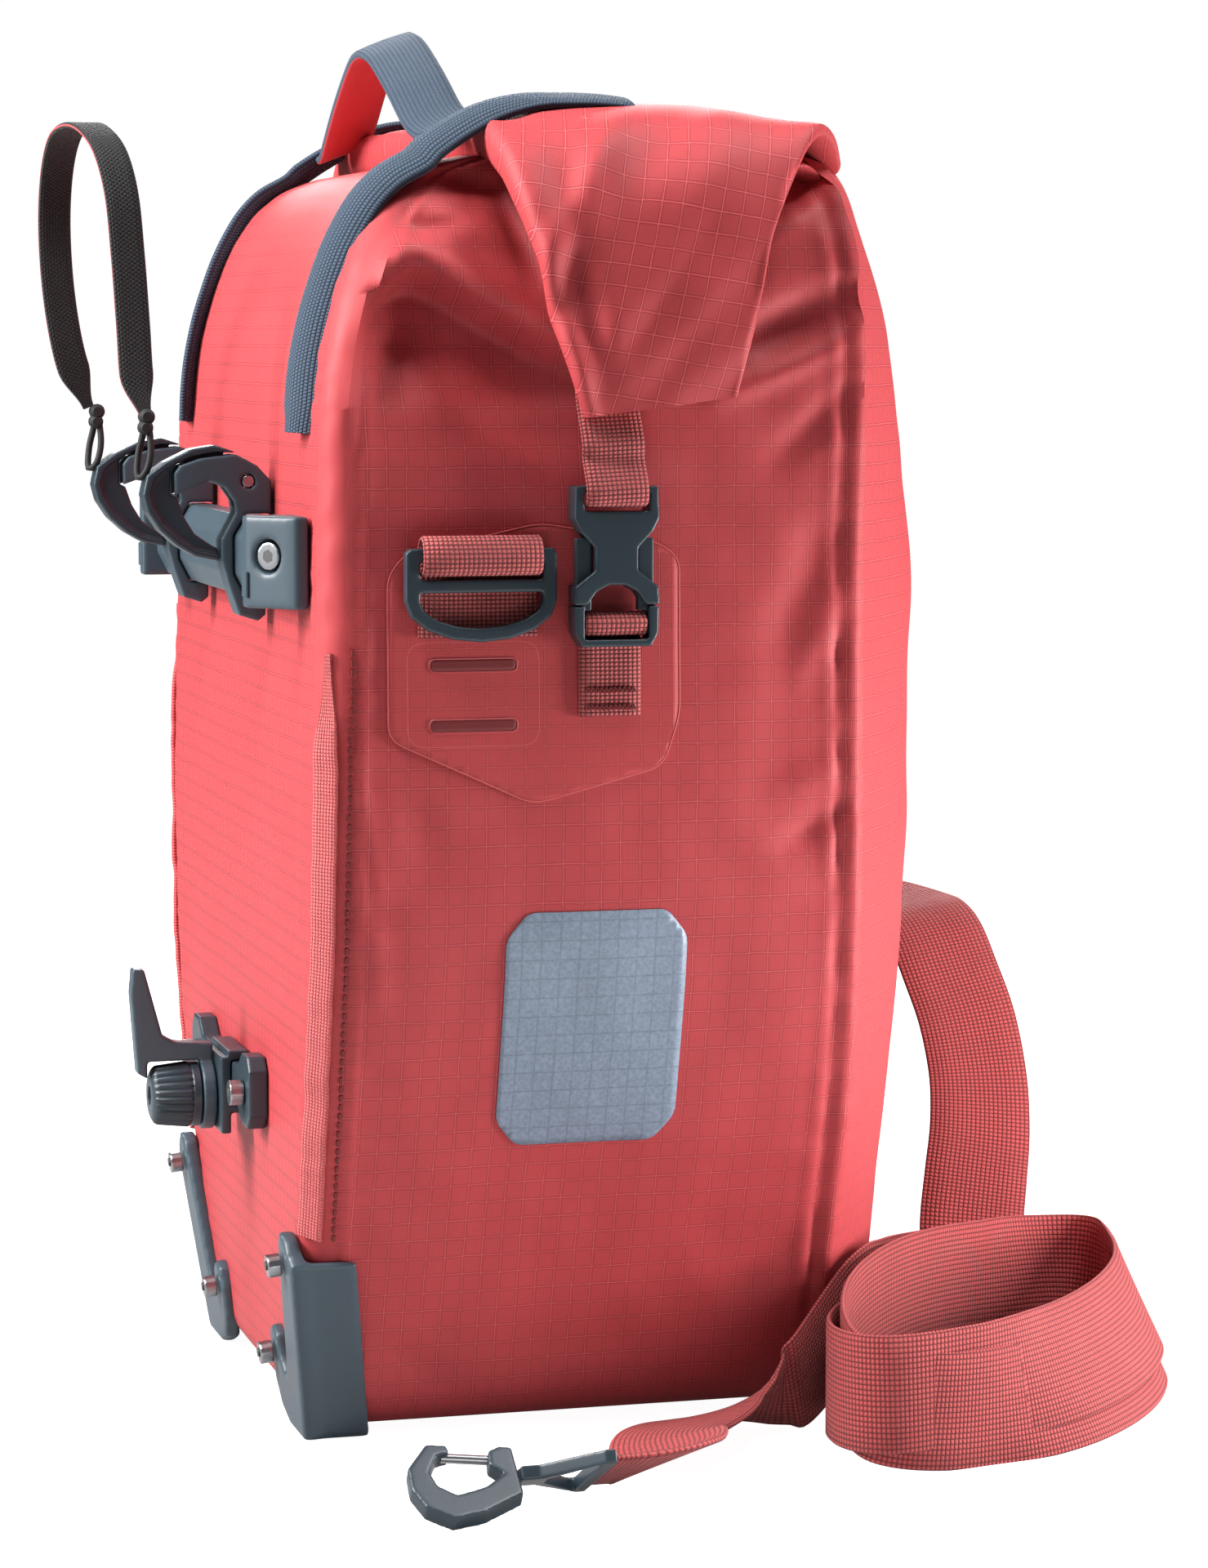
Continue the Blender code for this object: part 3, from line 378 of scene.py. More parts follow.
def ring_faces(rows, n):
    """Faces of a closed tube of rows of n points each; its two end faces come last."""
    faces = []
    for i in range(rows - 1):
        for j in range(n):
            k = (j + 1) % n
            faces.append((i * n + j, i * n + k, (i + 1) * n + k, (i + 1) * n + j))
    return faces + [tuple(range(n)), tuple((rows - 1) * n + j for j in range(n))]


def band(name, points, across, width, thick, mat, body="bag", step=2.0, edge=None, back_mat=None,
         taper=None, crown=0.0, centre_out=None):
    """Webbing swept along a curve: soft edges, UVs in metres across and along.

    back_mat lines the underside and edge one border; taper and crown are functions of 0 to 1 along it.
    """
    curve, length = rounded([(*p, *a) for p, a in zip(points, across)], step=step, least=6)
    count = len(curve)
    half, t = width / 2, thick / 2
    bevel = min(t * 0.9, 0.7)
    profile = [(-half + bevel, -t), (-half * 0.5, -t), (0, -t), (half * 0.5, -t), (half - bevel, -t),
               (half, -t + bevel), (half, t - bevel),
               (half - bevel, t), (half * 0.5, t), (0, t), (-half * 0.5, t), (-half + bevel, t),
               (-half, t - bevel), (-half, -t + bevel)]
    n = len(profile)
    verts, uvs = [], []
    side = None
    for i, q in enumerate(curve):
        p, turn = Vector(q[:3]), Vector(q[3:6])
        a, b = Vector(curve[max(i - 1, 0)][:3]), Vector(curve[min(i + 1, count - 1)][:3])
        along = (b - a).normalized()
        turn = turn - along * turn.dot(along)
        if turn.length < 1e-6:
            turn = side
        turn = turn.normalized()
        if side is not None and turn.dot(side) < 0:
            turn = -turn
        side = turn
        face = along.cross(side)
        s = length * i / (count - 1)
        wide = taper(s / length) if taper else 1.0
        if centre_out is not None:
            centre_out.append(p * MM)
        for x, y in profile:
            height = crown(s / length) if callable(crown) else crown
            bulge = height * (1 - (x / half) ** 2) if y > 0 else 0.0
            verts.append(p + side * (x * wide) + face * (y + bulge))
            uvs.append(((x + half) * MM, s * MM))
    second = back_mat or edge
    lined = range(5) if back_mat else (5,) if edge else ()
    slots = [int(j in lined) for j in range(n)] * (count - 1) + [0, 0]
    return piece(name, verts, ring_faces(count, n), uvs, [mat, second] if second else [mat], body, slots)


def refine(node, mat, soft, grain):
    """A copy of a CAD node with its edges melted round, as moulding leaves them, shown in its place."""
    mesh = frame["nodes"][node].data.copy()
    mesh.materials.clear()
    mesh.materials.append(mat)
    obj = bpy.data.objects.new(node + "_look", mesh)
    bpy.context.scene.collection.objects.link(obj)
    mesh.shade_smooth()
    fine = obj.modifiers.new("Even mesh", 'REMESH')
    fine.mode = 'VOXEL'
    fine.voxel_size = grain * MM
    fine.use_smooth_shade = True
    melt = obj.modifiers.new("Soft edges", 'SMOOTH')
    melt.factor = 0.5
    melt.iterations = soft
    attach(obj, body_for(node))
    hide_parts(node)


def body_for(node):
    for body, members in frame["record"]["behaviour"]["bodies"].items():
        if node in members:
            return body
    return "bag"


def bar(name, a, b, radius, mat, body="bag", count=20, bevel=0.3):
    """Round bar or screw head between two points."""
    a, b = Vector(a), Vector(b)
    axis = (b - a).normalized()
    side = axis.orthogonal().normalized()
    up = axis.cross(side)
    rings = [(a, radius - bevel), (a + axis * bevel, radius), (b - axis * bevel, radius),
             (b, radius - bevel)]
    verts, uvs = [], []
    for i, (p, r) in enumerate(rings):
        for j in range(count):
            t = 2 * math.pi * j / count
            verts.append(p + side * (r * math.cos(t)) + up * (r * math.sin(t)))
            uvs.append((j / count * 0.02, i * 0.005))
    return piece(name, verts, ring_faces(len(rings), count), uvs, [mat], body, smooth_angle=35)


def tube(name, points, radius, mat, body="bag", step=1.5, count=10):
    """Round cord along a curve."""
    curve, length = rounded(points, step=step, least=4)
    n = len(curve)
    verts, uvs = [], []
    side = None
    for i, p in enumerate(curve):
        along = (curve[min(i + 1, n - 1)] - curve[max(i - 1, 0)]).normalized()
        side = along.orthogonal() if side is None else side - along * side.dot(along)
        side = side.normalized()
        up = along.cross(side)
        for j in range(count):
            t = 2 * math.pi * j / count
            verts.append(p + side * (radius * math.cos(t)) + up * (radius * math.sin(t)))
            uvs.append((radius * t * MM, length * i / n * MM))
    return piece(name, verts, ring_faces(n, count), uvs, [mat], body)


# -------------------- shell
SHELL_TOP = 413.5
BACK_U, FRONT_U = 600, 900      # where the cloth of the back and the front starts
# height, half width, back Y, front seam Y, front bulge, back corner radius
BODY = [
    (0.8, 66, 66, -70, 26, 6),
    (1.6, 73, 73, -78, 29, 7),
    (4, 79.5, 79, -84, 32, 9),
    (10, 86, 83.5, -88.5, 35.5, 10),
    (18, 89.5, 85, -89.3, 37.5, 10),
    (30, 92, 86.2, -89.3, 38.5, 10),
    (62, 101.5, 89, -89, 41.5, 10),
    (110, 119, 90.5, -88, 46, 10),
    (160, 131, 90.5, -86.5, 50.5, 10),
    (210, 135.2, 90, -85.5, 52.5, 10),
    (265, 135.4, 88.4, -85, 53.5, 10),
    (300, 135.4, 87.8, -85.5, 51, 10),
    (330, 135.4, 86.8, -86.5, 46.5, 10),
    (352, 134.5, 84.3, -87, 41.5, 10),
    (368, 131, 80, -86.5, 37, 10),
    (382, 124.5, 74.8, -85, 33.3, 10),
    (392, 117.5, 69.5, -83.5, 31, 10),
    (400, 111, 63.5, -82, 29.5, 9),
    (407, 104, 54.5, -80, 28, 8),
    (411.5, 99, 43, -78, 26, 7),
    (413.5, 97, 32, -75, 22, 6),
]
FRONT_WIDTH = [     # the front corners stay further out at the top: height, half width
    (352, 134.5), (368, 133.5), (382, 131.5), (392, 129), (400, 125.5), (407, 120),
    (411.5, 113), (413.5, 108),
]
LIP = [             # arched edge of the hollow under the shoulder: Y, Z
    (-14, 346), (4, 352), (19, 358.7), (29, 365), (39, 370.5), (48, 376), (56, 379),
    (62, 377.5), (69.5, 372), (75, 364), (79, 352),
]

SIDE_FOLDS = [      # Y0, Z0, Y1, Z1, half width, height; + stands out, - sinks in
    (46, 407, 26, 401, 3.4, -4.5),
    (26, 401, 18, 376, 4.5, -5),
    (42, 413, 24, 411, 5, 3),
    (52, 396, 24, 386, 5, 2.6),
    (60, 388, 40, 392, 3, -1.2),
    (66, 400, 50, 386, 4, -1.6),
    (34, 336, 6, 331, 5, 3.2),
    (60, 330, 20, 318, 9, -2.4),
    (40, 322, 12, 320, 5, 1.6),
    (-38, 337, -80, 355, 4.5, 2.6),
    (-48, 352, -80, 368, 8, -6.5),
    (-56, 387, -80, 403, 4, 2.2),
    (-62, 399, -78, 409, 7, -11),
    (-80, 338, -58, 318, 5, -1.8),
    (-76, 300, -60, 262, 8, -1.8),
    (-80, 282, -66, 250, 5, 1.5),
    (-80, 206, -62, 196, 5, -2.2),
    (-80, 222, -60, 214, 5, 1.4),
    (66, 250, 56, 190, 7, -1.4),
    (78, 224, 70, 150, 4, 1.4),
    (78, 210, 72, 176, 2.2, -1.2),
    (-76, 60, -50, 40, 7, -1.8),
    (60, 30, 40, 18, 6, -1.2),
    (-20, 88, 30, 84, 14, -1.4),
]


def stroke(y, z, fold):
    """Height of one fold at a point of the side; it fades towards both its ends."""
    y0, z0, y1, z1, half, height = fold
    dy, dz = y1 - y0, z1 - z0
    t = clamp(((y - y0) * dy + (z - z0) * dz) / (dy * dy + dz * dz))
    d2 = (y - y0 - dy * t) ** 2 + (z - z0 - dz * t) ** 2
    fade = math.sin(math.pi * clamp(0.15 + 0.7 * t))
    return height * fade * math.exp(-d2 / (half * half))


def shell_ring(z):
    """Points around the shell at one height: X, Y, zone letter, and 0 to 1 along the zone."""
    w, yb, yf, bulge, r = table(BODY, z)
    wide = table(FRONT_WIDTH, z)[0] if z > FRONT_WIDTH[0][0] else w
    path = []
    n_back, n_side, n_front, n_corner = 34, 96, 48, 5

    def half_width(y):
        return lerp(w, wide, smooth(-5.0, -74.0, y))

    def corner(cx, cy, start, sweep, radius):
        for k in range(1, n_corner):
            t = start + sweep * k / n_corner
            path.append((cx + radius * math.cos(t), cy + radius * math.sin(t), 'c', k / n_corner))

    for k in range(n_back + 1):
        path.append((lerp(w - r, -(w - r), k / n_back), yb, 'b', k / n_back))
    corner(-(w - r), yb - r, math.pi / 2, math.pi / 2, r)
    for k in range(n_side + 1):
        y = lerp(yb - r, yf, k / n_side)
        path.append((-half_width(y), y, 'l', k / n_side))
    for k in range(1, n_front):
        x = lerp(-wide, wide, k / n_front)
        path.append((x, yf - bulge * (1 - (x / wide) ** 2), 'f', k / n_front))
    for k in range(n_side + 1):
        y = lerp(yf, yb - r, k / n_side)
        path.append((half_width(y), y, 'r', k / n_side))
    corner(w - r, yb - r, 0.0, math.pi / 2, r)
    return path


def shell_offset(x, y, z, zone, t):
    """How far the fabric stands out of its plain shape here: sag, folds, the hollow and the seams."""
    out = 0.0
    if zone in "lr":
        seed = 3.0 if zone == "l" else 9.0
        # the anchor patch stiffens the cloth, and the noise fades towards the seams
        stiff = smooth(-34.0, -22.0, y) * smooth(78.0, 66.0, y)
        stiff *= smooth(204.0, 220.0, z) * smooth(322.0, 296.0, z)
        inner = smooth(0.0, 0.08, t) * smooth(1.0, 0.92, t) * (1.0 - 0.85 * stiff)
        out += 1.5 * bell(z, 60, 70) * math.sin(math.pi * t)
        out += 2.2 * bell(z, 180, 62) * math.sin(math.pi * t)
        out += inner * (1.5 * ripple(y, z * 0.6, 0, 42.0, seed) + 0.55 * ripple(y, z, 0, 17.0, seed))
        out += inner * 0.9 * ripple(y * 0.35, z, 0, 13.0, seed + 4) * smooth(210, 330, z)
        for fold in SIDE_FOLDS:
            out += stroke(y, z, fold) * (1.0 - 0.8 * stiff)
        # the hollow under the shoulder, with its raised lip
        if z > 290.0 and y > -30.0:
            below = table(LIP, y)[0] - z
            depth = 17.0 * smooth(-16.0, 34.0, y) * smooth(81.0, 60.0, y)
            out -= depth * smooth(-1.0, 11.0, below) * smooth(54.0, 16.0, below)
            out += 4.5 * bell(below, -4.0, 6.0) * smooth(-16.0, 16.0, y) * smooth(82.0, 66.0, y)
        # lapped front seam: a low ridge, a narrow groove and a wide ridge
        d = y - table(BODY, z)[2]
        pucker = 1.0 + 1.1 * ripple(y * 0.2, z, 0, 11.0, seed + 1)
        out += pucker * (0.7 * bell(d, 2.0, 2.0) - 0.7 * bell(d, 6.5, 1.6) + 0.4 * bell(d, 10.5, 2.2))
        out += 1.1 * ripple(y * 0.3 + z * 0.25, z, 0, 8.5, seed + 2) * bell(d, 6.0, 11.0)
        # puckered seam at the back corner
        d = table(BODY, z)[1] - 10.0 - y
        out += 0.6 * bell(d, 3.5, 1.5) - 0.5 * bell(d, 1.0, 1.2)
        out += 0.9 * ripple(y * 0.3 - z * 0.3, z, 0, 9.0, seed + 6) * bell(d, 8.0, 8.0) * (1.0 - stiff)
    elif zone == "b":
        edge = smooth(0.0, 0.12, t) * smooth(1.0, 0.88, t)
        out += edge * 0.7 * ripple(x, z, 5.0, 40.0, 7.0)
        side = 118 - abs(x)
        out += 0.5 * bell(side, 8.0, 3.0) * smooth(40, 120, z)
        out += (1 - edge) * 0.6 * ripple(x, z * 2.5, 0, 12.0, 2.0)
    elif zone == "f":
        edge = math.sin(math.pi * t)
        out += edge * (2.0 * ripple(x, z, 3.0, 60.0, 1.0) + 0.9 * ripple(x, z, 1.0, 24.0, 5.0))
        out += 1.4 * edge * ripple(x * 0.4, z, 0.0, 16.0, 8.0) * smooth(260, 380, z)
    else:
        out += 0.7 * ripple(x * 2, y * 2, z, 9.0, 6.0)
    return out


def shell_u(x, y, zone):
    """Position along the cloth around the bag, in mm; sides, back and front keep apart."""
    if zone in "lr":
        return y
    if zone == 'f':
        return FRONT_U + x
    return BACK_U + (x if zone == 'b' else math.copysign(135, x))


def make_shell():
    """The sewn body as one creased sheet, closed at the bottom and under the roll."""
    heights = [0.8, 1.2, 1.6, 2.6, 4.0, 6.0, 8.0]
    z = 10.0
    while z < SHELL_TOP:
        heights.append(z)
        z += 2.6 if z < 330 else 1.3
    heights.append(SHELL_TOP)
    verts, uvs = [], []
    for z in heights:
        path = shell_ring(z)
        n = len(path)
        for i, (x, y, zone, t) in enumerate(path):
            a, b = path[i - 1], path[(i + 1) % n]
            tangent = Vector((b[0] - a[0], b[1] - a[1], 0)).normalized()
            normal = Vector((tangent.y, -tangent.x, 0))
            if normal.dot(Vector((x, y, 0))) < 0:
                normal = -normal
            out = shell_offset(x, y, z, zone, t) * smooth(0.0, 14.0, z)
            verts.append(Vector((x, y, z)) + normal * out)
            uvs.append((shell_u(x, y, zone) * MM, z * MM))
    zones = [p[2] for p in path]
    obj = piece("shell", verts, ring_faces(len(heights), n), uvs, [M_SHELL, M_PLAIN, M_BACK])
    mesh = obj.data
    layer = mesh.uv_layers["UVMap"]
    slots = []
    for poly in mesh.polygons:
        if len(poly.vertices) > 4:
            slots.append(1)
            continue
        kinds = {zones[v % n] for v in poly.vertices}
        us = [layer.data[i].uv[0] for i in poly.loop_indices]
        # a face between two zones takes all its UVs from the side's scale, or else from the front's
        if max(us) - min(us) > 0.05:
            for li, vi in zip(poly.loop_indices, poly.vertices):
                co = mesh.vertices[vi].co
                u = co.y if kinds & set("lr") else FRONT_U * MM + co.x
                layer.data[li].uv = (u, layer.data[li].uv[1])
        slots.append(1 if 'c' in kinds else 2 if 'b' in kinds else 0)
    mesh.polygons.foreach_set("material_index", slots)
    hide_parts("back_panel", "front_panel", "side_panel_left", "side_panel_right", "base_panel")


make_shell()


# -------------------- back corner seams
def make_corner_seam(sign, tag):
    """Puckered seam tape round the back corner, with a row of dark stitches beside it."""
    route, turns, stitches = [], [], []
    z = 70.0
    while z < 262.0:
        w, yb, _, _, r = table(BODY, z)
        pucker = 0.9 * ripple(3.0, z, 0, 8.0, sign * 5.0) + 0.5 * ripple(1.0, z, 0, 4.0, 2.0)
        reach = r * 0.7071 + 0.2 + pucker * 0.6
        route.append((sign * (w - r + reach), yb - r + reach, z))
        turns.append((sign, -1.0, 0.25 * pucker))
        stitches.append((sign * (w + 0.3), yb - r + 0.2 + 0.3 * pucker, z))
        z += 3.0
    band("seam_tape_" + tag, route, turns, 9.0, 1.2, M_TAPE, crown=1.3, step=1.5,
         taper=lambda t: 1.0 - 0.75 * smooth(0.82, 1.0, t))
    box = ((0, 1, 2, 3), (4, 5, 6, 7), (0, 1, 5, 4), (1, 2, 6, 5), (2, 3, 7, 6), (3, 0, 4, 7))
    verts, faces = [], []
    for x, y, z in stitches:
        faces += [tuple(len(verts) + k for k in face) for face in box]
        for dz in (-0.95, 0.95):
            for dx, dy in ((-0.6, -0.45), (0.5, -0.45), (0.5, 0.45), (-0.6, 0.45)):
                verts.append((x + dx, y + dy, z + dz))
    piece("stitches_" + tag, verts, faces, [(0.0, 0.0)] * len(verts), [M_SLOT_SHADE_AND_THREAD])


for sign, tag in SIDES:
    make_corner_seam(sign, tag)


# -------------------- rolled mouth
ROLL = [    # X, Z, thickness, low Y, high Y
    (-145.5, 334.5, 7.5, -41, 8),
    (-146.5, 350, 9, -44.8, 13),
    (-146.5, 366, 10, -48.5, 18),
    (-145, 382, 12, -52, 21.5),
    (-142, 395, 14, -58, 25),
    (-136, 406, 15, -66, 28),
    (-126, 415, 16, -76, 30),
    (-110, 419.8, 17, -86, 31),
    (-84, 421.3, 17, -94, 31),
    (-42, 421.3, 17, -99, 31),
    (0, 421.3, 17, -101, 31),
]


def front_droop(y):
    """How far the roll hangs down towards its front edge."""
    return 21.0 * clamp((-40.0 - y) / 60.0) ** 1.5


def make_roll():
    """The mouth rolled up over its stiffener, with both ends bent down over the sides."""
    rows = ROLL + [(-x, z, t, lo, hi) for x, z, t, lo, hi in reversed(ROLL[:-1])]
    curve, length = rounded([(x, 0.0, z, t, lo, hi) for x, z, t, lo, hi in rows], 240)
    last = len(curve) - 1

    def section(t, lo, hi):
        """Outer sheet, thick folded edge, hollow between the layers, inner sheet and the closed high edge."""
        h = t / 2
        back_drop = min(3.5, h * 0.4)
        pts = []
        for k in range(45):
            y = lerp(hi - 3.0, lo + 2.0, k / 44)
            pts.append((y, h - back_drop * smooth(hi - 18.0, hi - 3.0, y), 'o'))
        for k in range(1, 6):
            turn = math.pi * k / 6
            pts.append((lo + 2.0 - 2.0 * math.sin(turn), h - 2.0 + 2.0 * math.cos(turn), 'e'))
        deep = lerp(lo, hi, 0.45)
        for k in range(1, 7):
            pts.append((lerp(lo + 2.0, deep, k / 6), h - 4.0, 'i'))
        for k in range(1, 7):
            pts.append((lerp(deep, lo + 5.0, k / 6), -h + 2.0, 'i'))
        pts += [(lo + 3.6, -h + 1.4, 'e'), (lo + 3.0, -h + 0.8, 'e'), (lo + 3.6, -h + 0.2, 'e')]
        for k in range(17):
            pts.append((lerp(lo + 5.0, hi - 3.0, k / 16), -h, 'u'))
        for k in range(1, 8):
            turn = -math.pi / 2 + math.pi * k / 8
            high = h - back_drop if turn > 0 else h
            pts.append((hi - 3.0 + 3.0 * math.cos(turn), high * math.sin(turn), 'h'))
        return pts

    verts, uvs = [], []
    for i, (x, _, z, t, lo, hi) in enumerate(curve):
        a, b = curve[max(i - 1, 0)], curve[min(i + 1, last)]
        along = Vector((b[0] - a[0], b[2] - a[2])).normalized()
        nx, nz = -along.y, along.x
        s = length * i / last
        end = min(s, length - s)
        hang = smooth(112.0, 70.0, end)
        pts = section(t, lo, hi)
        for y, h, kind in pts:
            wide = clamp((hi - y) / max(hi - lo, 1.0))
            extra = 0.0
            if kind in "oh":
                diag = y * 0.8 + end * 0.6
                extra += hang * (1.5 * ripple(diag, end * 0.3, 0.0, 11.0, 2.5)
                                 + 0.9 * ripple(y, end, 0, 19.0, 4.0))
                extra -= hang * 2.6 * bell(wide, 0.17, 0.06) * smooth(2.0, 30.0, end)
                extra += hang * 1.3 * bell(wide, 0.05, 0.05)
                extra -= 2.4 * bell(diag, 34.0, 7.0) * hang - 1.4 * bell(diag, 47.0, 5.0) * hang
                extra += 0.9 * ripple(x, y, 0, 30.0, 8.0) * (1 - hang)
                extra -= 1.5 * bell(wide, 0.1, 0.06) * (1 - hang)
            droop = (1 - 0.8 * hang) * front_droop(y)
            tilt = hang * (-(y + 16.0) * 0.13)
            sag = 0.8 * ripple(x, 0, z, 34.0, 5.0)
            out = h + extra
            verts.append((x + nx * out, y + sag * 0.6, z + nz * out - droop + tilt))
            uvs.append(((y * 0.966 + end * 0.259) * MM, (s * 0.966 - y * 0.259) * MM))
    obj = piece("roll", verts, ring_faces(len(curve), len(pts)), uvs, [M_FLAP], smooth_angle=70)
    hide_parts("roll_top")


make_roll()


# -------------------- sewn webbing
def trim_points():
    """Route of a trim strap in Y, Z: up the back, over the shoulder and onto the roll."""
    pts = []
    lift = 1.6
    for z in (326, 345, 360, 372, 382, 391, 398, 404, 409):
        before, after = table(BODY, z - 2)[1], table(BODY, z + 2)[1]
        along = Vector((after - before, 4)).normalized()
        pts.append((table(BODY, z)[1] + along.y * lift, z - along.x * lift))
    return pts + [(47, 414.3), (38, 420.2), (27, 425.9), (14, 429.6), (0, 430.4), (-11, 430.1), (-18, 429.3)]


for sign, tag in SIDES:
    pts = trim_points()
    route, turns = [], []
    for i, (y, z) in enumerate(pts):
        f = i / (len(pts) - 1)
        route.append((sign * (106.0 - 4.0 * f), y, z))
        turns.append((-sign, 0.34 * smooth(1.0, 0.5, f), 0.2 * smooth(0.0, 0.5, f)))
    strap = band("trim_" + tag, route, turns, TRIM_WIDTH, 2.0, M_NAVY,
                 taper=lambda t: 0.8 + 0.2 * smooth(0.0, 0.06, t),
                 crown=lambda t: 3.6 - 2.8 * smooth(0.66, 0.9, t))
    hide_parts("trim_strap_" + tag)

HANDLE = [
    (-92, 38, 421.8), (-86, 38.4, 422.6), (-74, 39, 426.5), (-50, 39, 438), (-22, 38.5, 449), (-4, 38, 452.8),
    (8, 37.5, 453.2), (22, 37, 450.5), (48, 36, 439.5), (72, 35, 427), (84, 34, 422.4), (92, 33.5, 421.6),
]
handle = band("handle", HANDLE, [(0.0, 0.93, -0.35)] * len(HANDLE), TRIM_WIDTH, 2.8, M_NAVY, "carry_handle",
              crown=0.5, back_mat=M_LINING)
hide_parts("carry_handle")

LOOP = [
    (-HOOK_X, CORD_Y, 330), (-50, 131, 342), (-48, 131.8, 360), (-46.5, 133, 382), (-44, 134.5, 402),
    (-36, 137, 416), (-20, 140, 423.5), (-2, 142.5, 425), (16, 144, 421.5), (31, 144.5, 410), (41, 144, 392),
    (46, 142, 370), (49, 138, 349), (52, 131.5, 332),
]
loop = band("release_loop_look", LOOP, [(0, 1, 0)] * len(LOOP), 11.0, 2.0, M_BLACK, "release_loop",
            edge=M_LINING, taper=lambda t: 0.35 + 0.65 * smooth(0.0, 0.06, t) * smooth(1.0, 0.94, t))
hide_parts("release_loop")
for sign, tag in SIDES:
    x = sign * HOOK_X
    cord = [(x, CORD_Y, 331), (x + 1.6, 129.4, 325), (x + 2, 131, 318), (x, 131.6, 311), (x - 1.8, 129, 313),
            (x - 1.6, 127.4, 320), (x, 128, 329)]
    tube("loop_cord_" + tag, cord, 1.1, M_CORD, "release_loop")
    for k, (dy, z, radius) in enumerate(((0, 330.5, 2.6), (0.4, 327, 2.4))):
        ends = (x - 2.6, CORD_Y + dy, z), (x + 2.6, CORD_Y + dy, z)
        bar("loop_knot_%s_%d" % (tag, k), *ends, radius, M_CORD, "release_loop", 14, 1.0)

BUCKLE_UPPER = [    # webbing from under the roll round the buckle's bar: X, Z
    (140.2, 345), (141.4, 336), (144.6, 328), (146.2, 323), (145.4, 318.5), (147.4, 314), (148.8, 309.5),
    (148, 306), (146.4, 304.6), (143.5, 304.2),
]
BUCKLE_LOWER = [
    (138, 238.2), (138, 252), (137.9, 263), (138.6, 268.6), (141, 270.4), (144.2, 270.1), (146.2, 268.6),
    (146, 266.4), (144.6, 264.5), (141, 264.4),
]
RING_WEB = [        # webbing from the patch round the D-ring's bar: X, Z
    (137.6, 263.5), (137.6, 280), (137.7, 289), (138.4, 292.8), (141.3, 294.5), (144.4, 293.2), (146, 289.2),
    (145.3, 285), (142.7, 283.5),
]
for sign, tag in SIDES:
    for part, path, lean, body in (("upper", BUCKLE_UPPER, 0.054, "buckle_top_" + tag),
                                   ("lower", BUCKLE_LOWER, 0.0, "bag")):
        pts = [(sign * x, BUCKLE_Y + lean * (z - 304), z) for x, z in path]
        strap = band("buckle_web_%s_%s" % (part, tag), pts, [(0, 1, 0)] * len(pts), BUCKLE_WIDTH, 1.3,
                     M_WEB_FINE, body, step=1.0)
        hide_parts("buckle_strap_%s_%s" % (part, tag))
    for row, z in enumerate((241, 246.5)):
        zigzag = [(sign * 139.2, BUCKLE_Y - 8 + 16 * k / 22, z + (0.9 if k % 2 else -0.9)) for k in range(23)]
        tube("bar_tack_%s_%d" % (tag, row), zigzag, 0.4, M_SLOT_SHADE_AND_THREAD, "bag", 0.8, 5)
    # on the left the end of the webbing is tucked in behind the ring
    path = RING_WEB + [(139.4, 283.4)] if sign < 0 else RING_WEB
    pts = [(sign * x, RING_Y, z) for x, z in path]
    strap = band("ring_web_" + tag, pts, [(0, 1, 0)] * len(pts), STRAP_WIDTH, 1.4, M_WEB_FINE, step=1.0)
    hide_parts("d_ring_loop_" + tag)


# -------------------- patches on the side
def side_x(y, z, sign):
    """Distance of the shell's side from the middle."""
    w, yb, yf, _, r = table(BODY, z)
    t = (y - (yb - r)) / (yf - (yb - r))
    return w + shell_offset(sign * w, y, z, "l" if sign < 0 else "r", clamp(t))


def on_side(name, outline, lift, thick, mat, sign=-1, step=2.4):
    """Sheet cut to an outline in Y, Z and laid on the side of the shell."""
    bm = bmesh.new()
    bm.faces.new([bm.verts.new((0, y, z)) for y, z in outline])
    for axis, normal in enumerate(((0, 1, 0), (0, 0, 1))):
        at = min(p[axis] for p in outline) + step
        while at < max(p[axis] for p in outline):
            every = bm.verts[:] + bm.edges[:] + bm.faces[:]
            bmesh.ops.bisect_plane(bm, geom=every, plane_co=Vector(normal) * at, plane_no=normal)
            at += step
    for v in bm.verts:
        v.co.x = sign * (side_x(v.co.y, v.co.z, sign) + lift)
    bm.verts.index_update()
    verts = [v.co.copy() for v in bm.verts]
    faces = [tuple(v.index for v in f.verts) for f in bm.faces]
    bm.free()
    uvs = [(v.y * MM, v.z * MM) for v in verts]
    obj = piece(name, verts, faces, uvs, [mat])
    solid = obj.modifiers.new("Solidify", 'SOLIDIFY')
    solid.thickness, solid.offset = thick * MM, 0.0
    return obj


def weld_line(name, outline, lift, radius, mat, sign):
    """Thin raised line around a welded patch."""
    route = []
    n = len(outline)
    for i in range(n + 1):
        a, b = outline[i % n], outline[(i + 1) % n]
        steps = max(1, int(math.dist(a, b) / 3.0))
        for k in range(steps):
            y, z = lerp(a[0], b[0], k / steps), lerp(a[1], b[1], k / steps)
            route.append((sign * (side_x(y, z, sign) + lift), y, z))
    tube(name, route, radius, mat, "bag", 1.2, 6)


def rounded_outline(points, radius, count=4):
    """Closed outline with its corners rounded."""
    out = []
    for i in range(len(points)):
        a, p, b = Vector(points[i - 1]), Vector(points[i]), Vector(points[(i + 1) % len(points)])
        u, v = (a - p).normalized(), (b - p).normalized()
        r = min(radius, (a - p).length * 0.45, (b - p).length * 0.45)
        for k in range(count + 1):
            t = k / count
            q = (p + u * r) * (1 - t) ** 2 + p * 2 * t * (1 - t) + (p + v * r) * t * t
            out.append((q.x, q.y))
    return out


